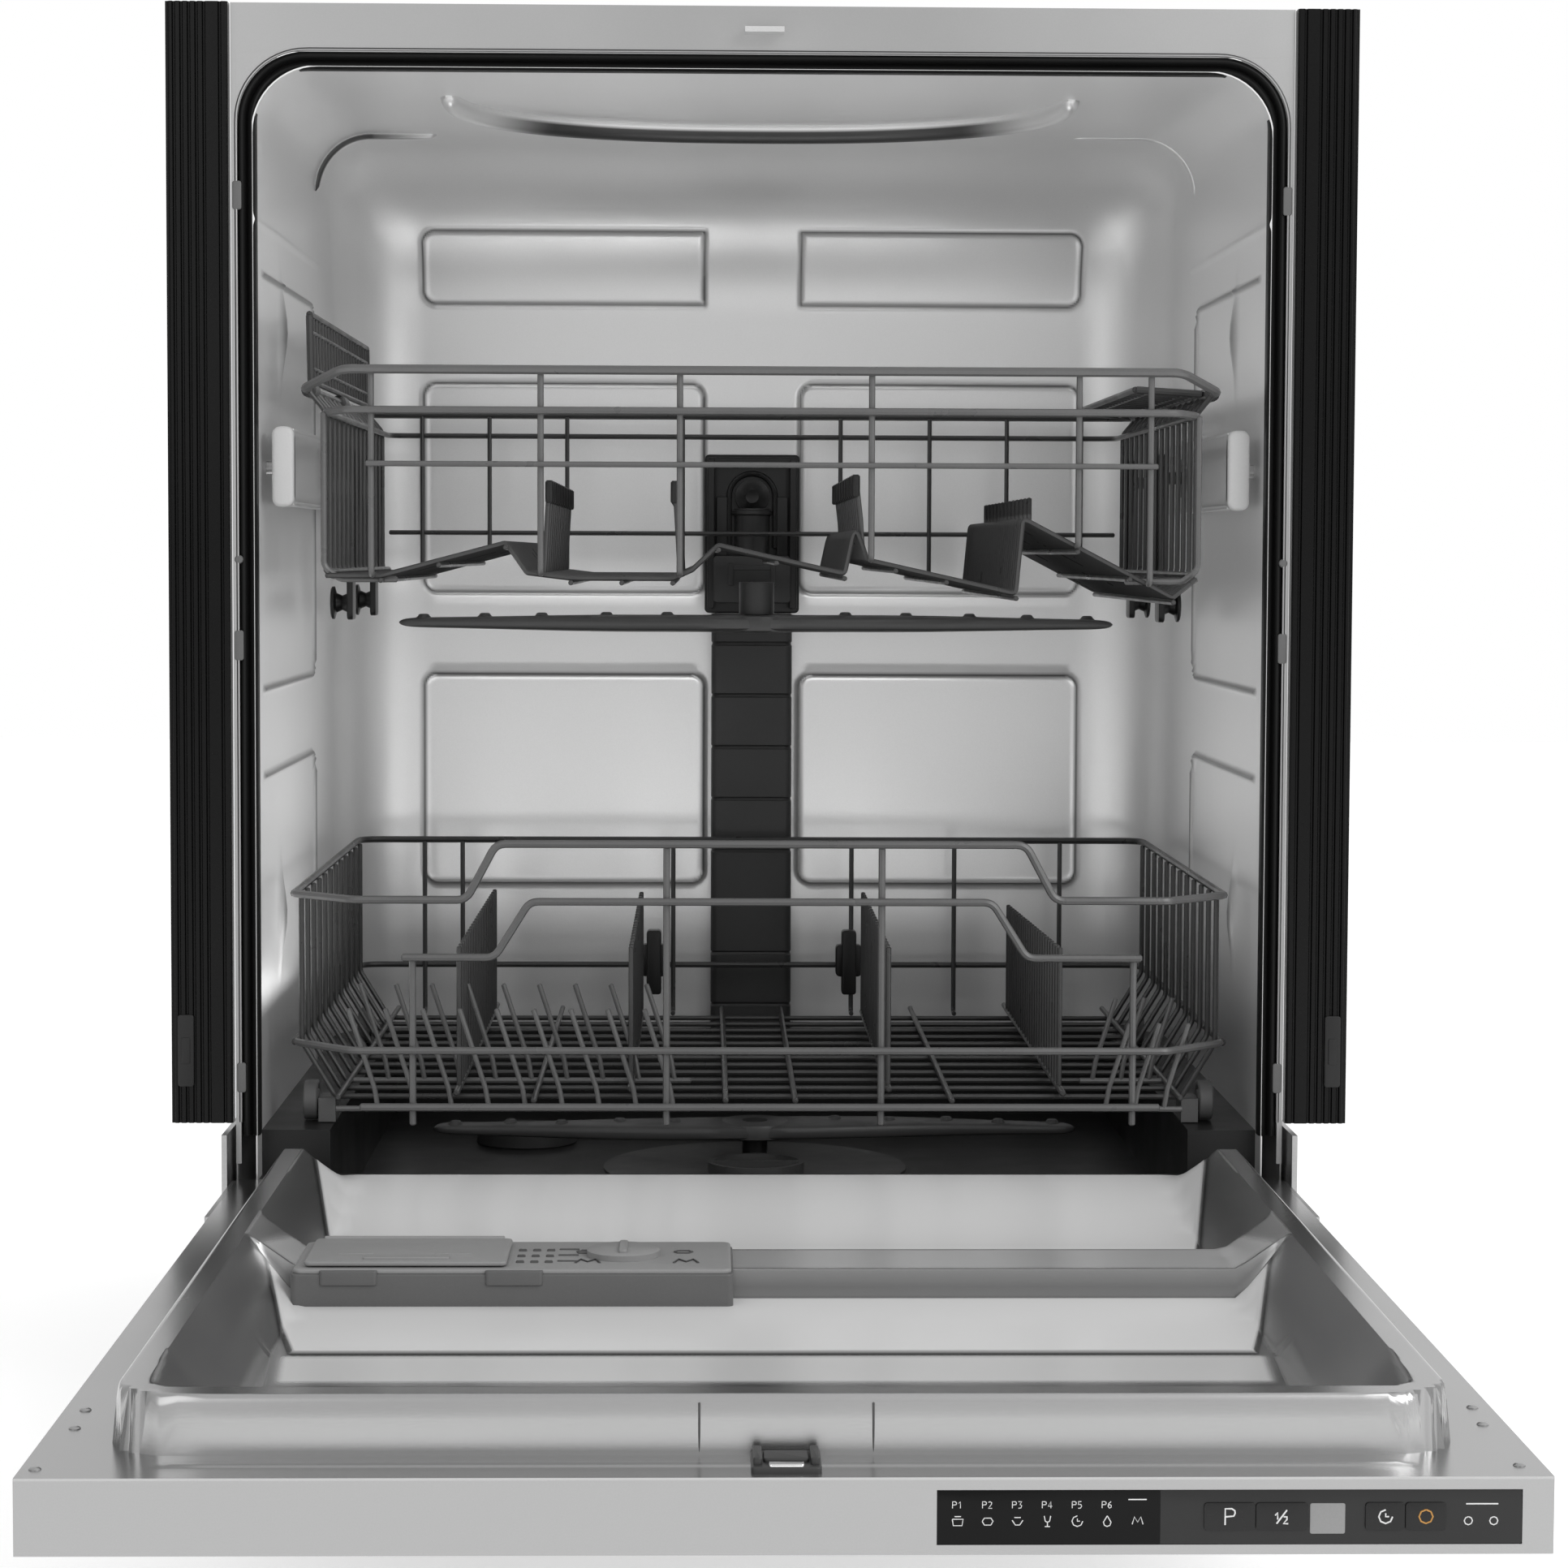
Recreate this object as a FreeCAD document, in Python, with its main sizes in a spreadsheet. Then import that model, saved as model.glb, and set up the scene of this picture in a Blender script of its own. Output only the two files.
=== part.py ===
"""Built in dishwasher, standing with its door open and both racks in.

Millimetres. +X is the user's right, +Y goes into the cabinet, +Z is up. The origin is on
the floor, under the middle of the whole outline with the door open. Every driving size is
a cell of the sheet "Sizes", and all places are worked out from those cells.
"""
import FreeCAD, Part, Sketcher
import math
import os

doc = FreeCAD.newDocument("dishwasher")
sheet = doc.addObject("Spreadsheet::Sheet", "Sizes")
vec = FreeCAD.Vector
nodes = {}


# ------------------------------------------------------------------ sizes
class Size:
    """A length that carries its number and the sheet expression it comes from."""

    def __init__(self, text, value):
        self.text = text
        self.value = value

    @staticmethod
    def of(other):
        if isinstance(other, Size):
            return other
        return Size("(%s)" % repr(float(other)), float(other))

    def __add__(self, other):
        other = Size.of(other)
        return Size("(%s + %s)" % (self.text, other.text), self.value + other.value)

    def __sub__(self, other):
        other = Size.of(other)
        return Size("(%s - %s)" % (self.text, other.text), self.value - other.value)

    def __mul__(self, other):
        other = Size.of(other)
        return Size("(%s * %s)" % (self.text, other.text), self.value * other.value)

    def __truediv__(self, other):
        other = Size.of(other)
        return Size("(%s / %s)" % (self.text, other.text), self.value / other.value)

    def __radd__(self, other):
        return Size.of(other) + self

    def __rsub__(self, other):
        return Size.of(other) - self

    def __rmul__(self, other):
        return Size.of(other) * self

    def __neg__(self):
        return Size("(0 - %s)" % self.text, -self.value)

    def __float__(self):
        return self.value


def cell(name, value):
    """Put one driving size on the sheet and hand back its Size."""
    cell.row += 1
    sheet.set("A%d" % cell.row, name)
    sheet.set("B%d" % cell.row, str(value))
    sheet.setAlias("B%d" % cell.row, name)
    return Size("Sizes." + name, float(value))


cell.row = 0

# overall
width = cell("width", 598)
height = cell("height", 815)
depth = cell("depth", 550)
door_reach = cell("door_reach", 685)
gap = cell("gap", 0.3)
fit = cell("fit", 0.05)

# front frame, case and trims
frame_sheet = cell("frame_sheet", 1.5)
top_band = cell("top_band", 27)
frame_leg = cell("frame_leg", 3)
frame_flange = cell("frame_flange", 40)
frame_leg_foot = cell("frame_leg_foot", 160)
worktop_hole = cell("worktop_hole", 2.2)
worktop_hole_pitch = cell("worktop_hole_pitch", 400)
case_sheet = cell("case_sheet", 0.8)
case_foot = cell("case_foot", 30)
rear_foot = cell("rear_foot", 108)
trim_gap = cell("trim_gap", 3)
trim_width = cell("trim_width", 33)
trim_foot = cell("trim_foot", 184)
trim_proud = cell("trim_proud", 3)
trim_back = cell("trim_back", 2)
rib_height = cell("rib_height", 2)
rib_width = cell("rib_width", 3)
rib_pitch = cell("rib_pitch", 6)
rib_count = 6
felt = cell("felt", 12)

# tub
tub_gap = cell("tub_gap", 11.2)
tub_sheet = cell("tub_sheet", 0.8)
ceiling_drop = cell("ceiling_drop", 34.2)
tub_corner = cell("tub_corner", 37)
wrapper_depth = cell("wrapper_depth", 345)
tub_depth = cell("tub_depth", 490)
back_round = cell("back_round", 60)
back_top_round = cell("back_top_round", 110)
seal_width = cell("seal_width", 10)
seal_depth = cell("seal_depth", 12)
seal_inner_round = cell("seal_inner_round", 29)
seal_outer_round = cell("seal_outer_round", 38)

# tub floor and sump
ledge_level = cell("ledge_level", 176)
ledge_width = cell("ledge_width", 40)
basin_level = cell("basin_level", 118)
floor_wall = cell("floor_wall", 3)
sill_level = cell("sill_level", 150)
sill_start = cell("sill_start", 2)
sill_depth = cell("sill_depth", 25)
basin_back = cell("basin_back", 468)
sump_radius = cell("sump_radius", 88)
sump_depth = cell("sump_depth", 62)
sump_wall = cell("sump_wall", 3)
filter_radius = cell("filter_radius", 96)
filter_sheet = cell("filter_sheet", 1.5)
cup_radius = cell("cup_radius", 30)
cup_height = cell("cup_height", 52)
cup_offset = cell("cup_offset", 54)
cup_rise = cell("cup_rise", 12)
salt_radius = cell("salt_radius", 50)
salt_neck = cell("salt_neck", 27)
salt_cap_radius = cell("salt_cap_radius", 33)
salt_cap_height = cell("salt_cap_height", 12)
salt_x = cell("salt_x", 150)
salt_y = cell("salt_y", 340)

# base
base_front = cell("base_front", 40)
base_back = cell("base_back", 525)
base_level = cell("base_level", 20)
base_top = cell("base_top", 104)
base_wall = cell("base_wall", 3)
kick_sheet = cell("kick_sheet", 4)
foot_pad = cell("foot_pad", 20)
foot_pad_height = cell("foot_pad_height", 8)
foot_stem = cell("foot_stem", 5)
foot_stem_top = cell("foot_stem_top", 58)
foot_boss = cell("foot_boss", 11)
foot_x = cell("foot_x", 240)
foot_front_y = cell("foot_front_y", 66)
foot_rear_y = cell("foot_rear_y", 500)

# pumps and connections
pump_radius = cell("pump_radius", 36)
pump_length = cell("pump_length", 120)
pump_x = cell("pump_x", 60)
pump_y = cell("pump_y", 395)
pump_level = cell("pump_level", 64)
drain_radius = cell("drain_radius", 24)
drain_length = cell("drain_length", 70)
drain_x = cell("drain_x", -110)
spigot_radius = cell("spigot_radius", 10)
spigot_bore = cell("spigot_bore", 8)
spigot_length = cell("spigot_length", 23)
neck_step = cell("neck_step", 1)
inlet_radius = cell("inlet_radius", 13.2)
inlet_bore = cell("inlet_bore", 8)
inlet_length = cell("inlet_length", 12)
inlet_x = cell("inlet_x", 230)
gland_radius = cell("gland_radius", 9)
gland_bore = cell("gland_bore", 4)
gland_length = cell("gland_length", 16)
gland_x = cell("gland_x", -230)

# rear duct and dock
duct_half = cell("duct_half", 28)
duct_thick = cell("duct_thick", 21)
dock_half = cell("dock_half", 33)
dock_low = cell("dock_low", 467)
dock_high = cell("dock_high", 577)
dock_thick = cell("dock_thick", 24)
feed_level = cell("feed_level", 482)
feed_radius = cell("feed_radius", 7)
feed_bore = cell("feed_bore", 5)
feed_cap_rise = cell("feed_cap_rise", 1.5)

# spray arms
arm_y = cell("arm_y", 236)
arm_thick = cell("arm_thick", 11)
arm_mid = cell("arm_mid", 22)
arm_tip = cell("arm_tip", 13)
upper_arm_half = cell("upper_arm_half", 226)
upper_arm_level = cell("upper_arm_level", 459)
lower_arm_half = cell("lower_arm_half", 205)
lower_arm_level = cell("lower_arm_level", 138)
arm_hub = cell("arm_hub", 25)
arm_bearing = cell("arm_bearing", 8)

# telescopic rails
rail_inner = cell("rail_inner", 268)
rail_outer = cell("rail_outer", 280)
rail_low = cell("rail_low", 535)
rail_high = cell("rail_high", 579)
rail_sheet = cell("rail_sheet", 2.5)
rail_web = cell("rail_web", 0.8)
rail_front = cell("rail_front", 36)
rail_back = cell("rail_back", 430)
rail_cap = cell("rail_cap", 9)
roller_width = cell("roller_width", 4.5)
roller_axle = cell("roller_axle", 4)
wall_roller_front = cell("wall_roller_front", 60)
wall_roller_rear = cell("wall_roller_rear", 150)

# door
hinge_ahead = cell("hinge_ahead", 13.5)
hinge_level = cell("hinge_level", 140.5)
door_plane = cell("door_plane", 152)
door_thick = cell("door_thick", 30.5)
door_side_gap = cell("door_side_gap", 1)
door_foot = cell("door_foot", 6)
door_sheet = cell("door_sheet", 1)
rim_half = cell("rim_half", 269)
rim_width = cell("rim_width", 13)
rim_end = cell("rim_end", 648.5)
rim_end_width = cell("rim_end_width", 16)
rim_start = cell("rim_start", 50)
rim_level = cell("rim_level", 176)
rim_corner = cell("rim_corner", 30)
recess_level = cell("recess_level", 141)
ramp_end = cell("ramp_end", 160)
bar_near = cell("bar_near", 300)
bar_far = cell("bar_far", 246)
bar_level = cell("bar_level", 158)
panel_hole = cell("panel_hole", 2.5)
panel_hole_x = cell("panel_hole_x", 500)
panel_hole_y = cell("panel_hole_y", 410)
panel_hole_first = cell("panel_hole_first", 150)

# control strip
fascia_depth = cell("fascia_depth", 18)
fascia_wall = cell("fascia_wall", 2)
key_proud = cell("key_proud", 0.8)
strip_left = cell("strip_left", 58)
strip_right = cell("strip_right", 285.7)
strip_low = cell("strip_low", 125.4)
strip_high = cell("strip_high", 147)
strip_thick = cell("strip_thick", 2.6)
key_low = cell("key_low", 131)
key_high = cell("key_high", 142)
key_depth = cell("key_depth", 6)
key_gap = cell("key_gap", 0.25)
key_program_left = cell("key_program_left", 161.6)
key_half_left = cell("key_half_left", 181.8)
key_half_right = cell("key_half_right", 202)
key_delay_left = cell("key_delay_left", 224.4)
key_power_left = cell("key_power_left", 240)
key_power_right = cell("key_power_right", 255.8)

# latch
striker_half = cell("striker_half", 11)
striker_low = cell("striker_low", 799)
striker_thick = cell("striker_thick", 3)
striker_reach = cell("striker_reach", 13)
latch_half = cell("latch_half", 14)
latch_near = cell("latch_near", 678)
latch_far = cell("latch_far", 650)
latch_low = cell("latch_low", 132)

# dispenser
dispenser_left = cell("dispenser_left", -232)
dispenser_right = cell("dispenser_right", -18)
dispenser_near = cell("dispenser_near", 325)
dispenser_far = cell("dispenser_far", 251)
dispenser_level = cell("dispenser_level", 163)
soap_left = cell("soap_left", -222)
soap_right = cell("soap_right", -132)
soap_near = cell("soap_near", 316)
soap_far = cell("soap_far", 266)
soap_floor = cell("soap_floor", 147)
lid_margin = cell("lid_margin", 4)
lid_sheet = cell("lid_sheet", 2)
lid_axis_far = cell("lid_axis_far", 258)
lid_barrel = cell("lid_barrel", 1.5)
lid_barrel_rise = cell("lid_barrel_rise", 1.8)
rinse_x = cell("rinse_x", -72)
rinse_y = cell("rinse_y", 288)
rinse_radius = cell("rinse_radius", 18)
rinse_rise = cell("rinse_rise", 3)

# hinges and springs
arm_sheet = cell("arm_sheet", 3)
hinge_pin = cell("hinge_pin", 5)
hinge_arm_length = cell("hinge_arm_length", 120)
hinge_arm_low = cell("hinge_arm_low", 130)
hinge_arm_high = cell("hinge_arm_high", 151)
bracket_back = cell("bracket_back", 60)
bracket_low = cell("bracket_low", 126)
bracket_high = cell("bracket_high", 180)
bracket_seat = cell("bracket_seat", 22)
spring_radius = cell("spring_radius", 3.6)
spring_wire = cell("spring_wire", 1)
spring_y = cell("spring_y", 90)
spring_top = cell("spring_top", 240)
spring_turns = 24

# upper rack
up_half = cell("up_half", 249)
up_rail_half = cell("up_rail_half", 262)
up_front = cell("up_front", 6)
up_back = cell("up_back", 445)
up_low = cell("up_low", 495)
up_shoulder = cell("up_shoulder", 588)
up_rail = cell("up_rail", 602)
up_rim = cell("up_rim", 611.7)
up_third = cell("up_third", 558.5)
rim_wire = cell("rim_wire", 5.2)
rail_wire = cell("rail_wire", 4.2)
thin_wire = cell("thin_wire", 2.6)
up_pitch = cell("up_pitch", 36)
up_floor_pitch = cell("up_floor_pitch", 39)
up_tine_high = cell("up_tine_high", 549)
hanger_front = cell("hanger_front", 240)
hanger_rear = cell("hanger_rear", 400)
hanger_low = cell("hanger_low", 466)
hanger_high = cell("hanger_high", 572)
hanger_half = cell("hanger_half", 11)
hanger_sheet = cell("hanger_sheet", 4)
spool_radius = cell("spool_radius", 10.5)
shelf_height = cell("shelf_height", 44)
shelf_sheet = cell("shelf_sheet", 3)
shelf_front = cell("shelf_front", 62)
shelf_back = cell("shelf_back", 425)
shelf_barrel = cell("shelf_barrel", 4.6)
shelf_slot = cell("shelf_slot", 26)
shelf_slots = 11

# lower rack
low_half = cell("low_half", 270)
low_front = cell("low_front", 3)
low_back = cell("low_back", 448)
low_corner = cell("low_corner", 37)
low_rim = cell("low_rim", 311)
low_grip = cell("low_grip", 343)
low_second = cell("low_second", 278)
low_third = cell("low_third", 224.5)
low_bevel = cell("low_bevel", 218)
low_floor = cell("low_floor", 192)
low_foot_x = cell("low_foot_x", 247)
grip_half = cell("grip_half", 151)
low_pitch = cell("low_pitch", 33)
low_wire = cell("low_wire", 4.4)
tine_wire = cell("tine_wire", 3)
tine_high = cell("tine_high", 280)
fixed_tine_x = cell("fixed_tine_x", 175)
fold_tine_x = cell("fold_tine_x", 75)
fold_level = cell("fold_level", 198)
tine_start = cell("tine_start", 45)
tine_pitch = cell("tine_pitch", 33)
tine_count = 9
wheel_radius = cell("wheel_radius", 11.8)
wheel_inner = cell("wheel_inner", 257.5)
wheel_width = cell("wheel_width", 9.5)
wheel_axle = cell("wheel_axle", 3)
wheel_front = cell("wheel_front", 60)
wheel_rear = cell("wheel_rear", 400)
holder_half = cell("holder_half", 12)

# worked out
front = (door_reach - depth) / 2
half = width / 2
tub_half = half - tub_gap
ceiling = height - ceiling_drop
hinge_y = front - hinge_ahead
door_half = half - door_side_gap
door_low = door_plane - door_thick
end_y = front - door_reach
fascia_y = end_y + fascia_depth
hinge_end = front - door_foot
wheel_level = ledge_level + gap + wheel_radius
rail_mid = (rail_low + rail_high) / 2
roller_radius = (rail_high - rail_low) / 2 - rail_sheet - gap
web_inner = (rail_inner + rail_outer - rail_web) / 2
web_outer = web_inner + rail_web
floor_half = tub_half - ledge_width
arm_centre = front + arm_y
sump_low = basin_level - sump_depth


# ------------------------------------------------------------------ building tools
def bind(thing, prop, size):
    """Tie one property to the sheet."""
    thing.setExpression(prop, Size.of(size).text)


def put(thing, x, y, z):
    """Tie the place of an object to the sheet."""
    bind(thing, "Placement.Base.x", x)
    bind(thing, "Placement.Base.y", y)
    bind(thing, "Placement.Base.z", z)


def keep(label, thing):
    """Name a finished sub-part."""
    thing.Label = label
    nodes[label] = thing
    return thing


def block(name, xs, ys, zs):
    """Box between two places on each axis."""
    box = doc.addObject("Part::Box", name)
    bind(box, "Length", xs[1] - xs[0])
    bind(box, "Width", ys[1] - ys[0])
    bind(box, "Height", zs[1] - zs[0])
    put(box, xs[0], ys[0], zs[0])
    return box


TURNS = {
    "x": FreeCAD.Rotation(vec(0, 1, 0), 90),
    "y": FreeCAD.Rotation(vec(1, 0, 0), -90),
    "z": FreeCAD.Rotation(),
}


def rod(name, axis, start, length, radius):
    """Cylinder from start along +axis."""
    bar = doc.addObject("Part::Cylinder", name)
    bar.Placement = FreeCAD.Placement(vec(0, 0, 0), TURNS[axis])
    bind(bar, "Radius", radius)
    bind(bar, "Height", length)
    put(bar, start[0], start[1], start[2])
    return bar


def cut(name, base, tools):
    """Base less its tools."""
    tool = tools[0] if len(tools) == 1 else join(name + "_tools", tools)
    result = doc.addObject("Part::Cut", name)
    result.Base = base
    result.Tool = tool
    return result


def join(name, parts):
    """Parts fused to one solid."""
    result = doc.addObject("Part::MultiFuse", name)
    result.Shapes = parts
    return result


def group(name, parts):
    """Separate solids kept together in one sub-part."""
    result = doc.addObject("Part::Compound", name)
    result.Links = parts
    return result


def span(side, near, far):
    """Low and high X of a piece between two distances from the middle, on one side."""
    if side > 0:
        return (Size.of(near), Size.of(far))
    return (-Size.of(far), -Size.of(near))


def body(label):
    """New PartDesign body that carries the sub-part's name."""
    return keep(label, doc.addObject("PartDesign::Body", label))


def sketch(owner, plane, level, loops):
    """Sketch on one of the body's origin planes, with every corner tied to the sheet.

    A loop is a list of corners (u, v), or a circle (u, v, radius).
    """
    item = owner.newObject("Sketcher::SketchObject", owner.Name + "_sketch")
    origin = [f for f in owner.Origin.OriginFeatures if f.Role == plane + "_Plane"][0]
    item.AttachmentSupport = (origin, [""])
    item.MapMode = "FlatFace"
    bind(item, "AttachmentOffset.Base.z", level)
    for loop in loops:
        if isinstance(loop, tuple):
            u, v, radius = loop
            spot = vec(float(u), float(v), 0)
            circle = Part.Circle(spot, vec(0, 0, 1), float(radius))
            place = item.addGeometry(circle, False)
            tie(item, "DistanceX", -1, 1, place, 3, u)
            tie(item, "DistanceY", -1, 1, place, 3, v)
            number = item.addConstraint(Sketcher.Constraint("Radius", place, float(radius)))
            item.renameConstraint(number, "radius%d" % number)
            bind(item, "Constraints.radius%d" % number, radius)
            continue
        corners = [vec(float(u), float(v), 0) for u, v in loop]
        first = item.GeometryCount
        count = len(corners)
        for i in range(count):
            item.addGeometry(Part.LineSegment(corners[i], corners[(i + 1) % count]), False)
        for i in range(count):
            item.addConstraint(Sketcher.Constraint("Coincident", first + i, 2,
                                                   first + (i + 1) % count, 1))
        for i in range(count):
            tie(item, "DistanceX", -1, 1, first + i, 1, loop[i][0])
            tie(item, "DistanceY", -1, 1, first + i, 1, loop[i][1])
    return item


def tie(item, kind, geo_a, pos_a, geo_b, pos_b, size):
    """Distance constraint bound to the sheet."""
    number = item.addConstraint(
        Sketcher.Constraint(kind, geo_a, pos_a, geo_b, pos_b, float(Size.of(size))))
    name = "tie%d" % number
    item.renameConstraint(number, name)
    bind(item, "Constraints." + name, size)


def pad(owner, plane, loops, low, high):
    """Material between two levels along the plane's axis."""
    level = -Size.of(high) if plane == "XZ" else Size.of(low)
    outline = sketch(owner, plane, level, loops)
    feature = owner.newObject("PartDesign::Pad", owner.Name + "_pad")
    feature.Profile = outline
    bind(feature, "Length", Size.of(high) - low)
    return feature


def pocket(owner, plane, loops, low, high):
    """Removed material between two levels along the plane's axis."""
    level = -Size.of(low) if plane == "XZ" else Size.of(high)
    outline = sketch(owner, plane, level, loops)
    feature = owner.newObject("PartDesign::Pocket", owner.Name + "_pocket")
    feature.Profile = outline
    bind(feature, "Length", Size.of(high) - low)
    return feature


ALONG = {"XY": 2, "YZ": 0, "XZ": 1}


def round_edges(owner, plane, spots, radius):
    """Fillet the straight edges that run across the plane at the given corners."""
    doc.recompute()
    along = ALONG[plane]
    flat = [i for i in range(3) if i != along]
    base = owner.Tip
    names = []
    for number, edge in enumerate(base.Shape.Edges):
        start, end = edge.Vertexes[0].Point, edge.Vertexes[-1].Point
        if abs(start[along] - end[along]) < 0.05:
            continue
        for u, v in spots:
            at_start = math.hypot(start[flat[0]] - float(u), start[flat[1]] - float(v))
            at_end = math.hypot(end[flat[0]] - float(u), end[flat[1]] - float(v))
            if at_start < 0.01 and at_end < 0.01:
                names.append("Edge%d" % (number + 1))
    fillet = owner.newObject("PartDesign::Fillet", owner.Name + "_fillet")
    fillet.Base = (base, names)
    bind(fillet, "Radius", radius)
    return fillet


def rect(u, v):
    """Corners of a rectangle."""
    return [(u[0], v[0]), (u[1], v[0]), (u[1], v[1]), (u[0], v[1])]


def both(size):
    """Low and high of a span about the middle."""
    return (-size, size)


def shaped(label, shape):
    """Sub-part whose form is worked out in code from the sheet's values."""
    item = doc.addObject("Part::Feature", label)
    item.Shape = shape
    item.Placement = FreeCAD.Placement()
    return keep(label, item)


def wire(points, diameter, bend=0):
    """Round wire along straight runs joined by tangent arcs."""
    path = [vec(*[float(c) for c in point]) for point in points]
    radius = float(diameter) / 2
    if len(path) == 2:
        return Part.makeCylinder(radius, (path[1] - path[0]).Length, path[0],
                                 path[1] - path[0])
    edges = []
    start = path[0]
    for i in range(1, len(path) - 1):
        back = (path[i - 1] - path[i]).normalize()
        ahead = (path[i + 1] - path[i]).normalize()
        turn = math.pi - back.getAngle(ahead)
        reach = float(bend) * math.tan(turn / 2)
        arc_start = path[i] + back * reach
        arc_end = path[i] + ahead * reach
        inner = (back + ahead).normalize()
        middle = path[i] + inner * (float(bend) * (1 / math.cos(turn / 2) - 1))
        edges.append(Part.LineSegment(start, arc_start).toShape())
        edges.append(Part.Arc(arc_start, middle, arc_end).toShape())
        start = arc_end
    edges.append(Part.LineSegment(start, path[-1]).toShape())
    line = Part.Wire(edges)
    ring = Part.Wire(Part.Circle(path[0], path[1] - path[0], radius).toShape())
    return line.makePipeShell([ring], True, False)


def welded(wires):
    """Wires welded where they cross."""
    return wires[0].multiFuse(wires[1:])


def spread(low, high, pitch):
    """Evenly spaced places from low to high, about one pitch apart."""
    count = max(1, round((high - low) / float(pitch)))
    return [low + (high - low) * i / count for i in range(count + 1)]


# ------------------------------------------------------------------ cabinet
def make_front_frame():
    """Arched front frame with a top flange that is screwed to the worktop."""
    frame = body("front_frame")
    inner = half - frame_leg
    arch = [(-half, frame_leg_foot), (-inner, frame_leg_foot), (-inner, height - top_band),
            (inner, height - top_band), (inner, frame_leg_foot), (half, frame_leg_foot),
            (half, height), (-half, height)]
    pad(frame, "XZ", [arch], front, front + frame_sheet)
    pad(frame, "XY", [rect(both(half), (front, front + frame_flange))],
        height - frame_sheet, height)
    spot = front + frame_flange / 2
    holes = [(-worktop_hole_pitch / 2, spot, worktop_hole),
             (worktop_hole_pitch / 2, spot, worktop_hole)]
    pocket(frame, "XY", holes, height - frame_sheet, height)


def make_case():
    """Two side sheets and the rear sheet."""
    top = height - frame_sheet
    start = front + frame_sheet
    back = front + depth
    panels = [block("case_left", span(-1, half - case_sheet, half), (start, back),
                    (case_foot, top)),
              block("case_right", span(1, half - case_sheet, half), (start, back),
                    (case_foot, top)),
              block("case_rear", both(half - case_sheet), (back - case_sheet, back),
                    (rear_foot, top))]
    keep("case_panels", group("case_panels", panels))


def make_side_trims():
    """Ribbed rubber strips that close the slot to the furniture on each side."""
    strips = []
    for side in (-1, 1):
        inner = half + trim_gap
        parts = [block("trim_strip", span(side, inner, inner + trim_width),
                       (front - trim_proud, front + trim_back), (trim_foot, height)),
                 block("trim_root", span(side, half, inner + trim_gap),
                       (front + trim_back, front + trim_back + trim_gap),
                       (trim_foot, height))]
        for rib in range(rib_count):
            near = inner + rib_pitch * rib
            parts.append(block("trim_rib", span(side, near, near + rib_width),
                               (front - trim_proud - rib_height, front - trim_proud),
                               (trim_foot, height)))
        strips.append(join("trim_side", parts))
    keep("side_trims", group("side_trims", strips))


def make_tub_wrapper():
    """Bent stainless sheet: both side walls and the ceiling."""
    wrapper = body("tub_wrapper")
    outer = tub_half
    inner = tub_half - tub_sheet
    arch = [(-outer, ledge_level), (-inner, ledge_level), (-inner, ceiling - tub_sheet),
            (inner, ceiling - tub_sheet), (inner, ledge_level), (outer, ledge_level),
            (outer, ceiling), (-outer, ceiling)]
    pad(wrapper, "XZ", [arch], front + seal_depth, front + wrapper_depth)
    round_edges(wrapper, "XZ", [(-outer, ceiling), (outer, ceiling)], tub_corner + tub_sheet)
    round_edges(wrapper, "XZ", [(-inner, ceiling - tub_sheet), (inner, ceiling - tub_sheet)],
                tub_corner)


def dish(shrink):
    """Rounded solid of the tub's rear end, smaller all round by shrink."""
    x = float(tub_half) - shrink
    z_low = float(ledge_level)
    z_high = float(ceiling) - shrink
    y_low = float(front + wrapper_depth)
    y_high = float(front + tub_depth + tub_sheet) - shrink
    solid = Part.makeBox(2 * x, y_high - y_low, z_high - z_low, vec(-x, y_low, z_low))

    def edges(test):
        return [e for e in solid.Edges if test(e.CenterOfMass)]

    deep = edges(lambda c: abs(c.y - y_high) < 0.1 and abs(abs(c.x) - x) < 0.1)
    solid = solid.makeFillet(float(back_round) - shrink, deep)
    long = [e for e in solid.Edges if abs(e.CenterOfMass.z - z_high) < 0.1
            and abs(abs(e.CenterOfMass.x) - x) < 0.1]
    solid = solid.makeFillet(float(tub_corner) + float(tub_sheet) - shrink, long)
    return solid


def make_tub_back():
    """Deep drawn rear end of the tub."""
    shaped("tub_back_panel", dish(0).cut(dish(float(tub_sheet))))


def make_gasket():
    """Rubber door seal in the arch between the frame and the tub."""
    seal = body("tub_gasket")
    outer = half - frame_leg
    inner = outer - seal_width
    high = height - top_band
    arch = [(-outer, ledge_level), (-inner, ledge_level), (-inner, high - seal_width),
            (inner, high - seal_width), (inner, ledge_level), (outer, ledge_level),
            (outer, high), (-outer, high)]
    pad(seal, "XZ", [arch], front, front + seal_depth)
    round_edges(seal, "XZ", [(-outer, high), (outer, high)], seal_outer_round)
    round_edges(seal, "XZ", [(-inner, high - seal_width), (inner, high - seal_width)],
                seal_inner_round)


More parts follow.
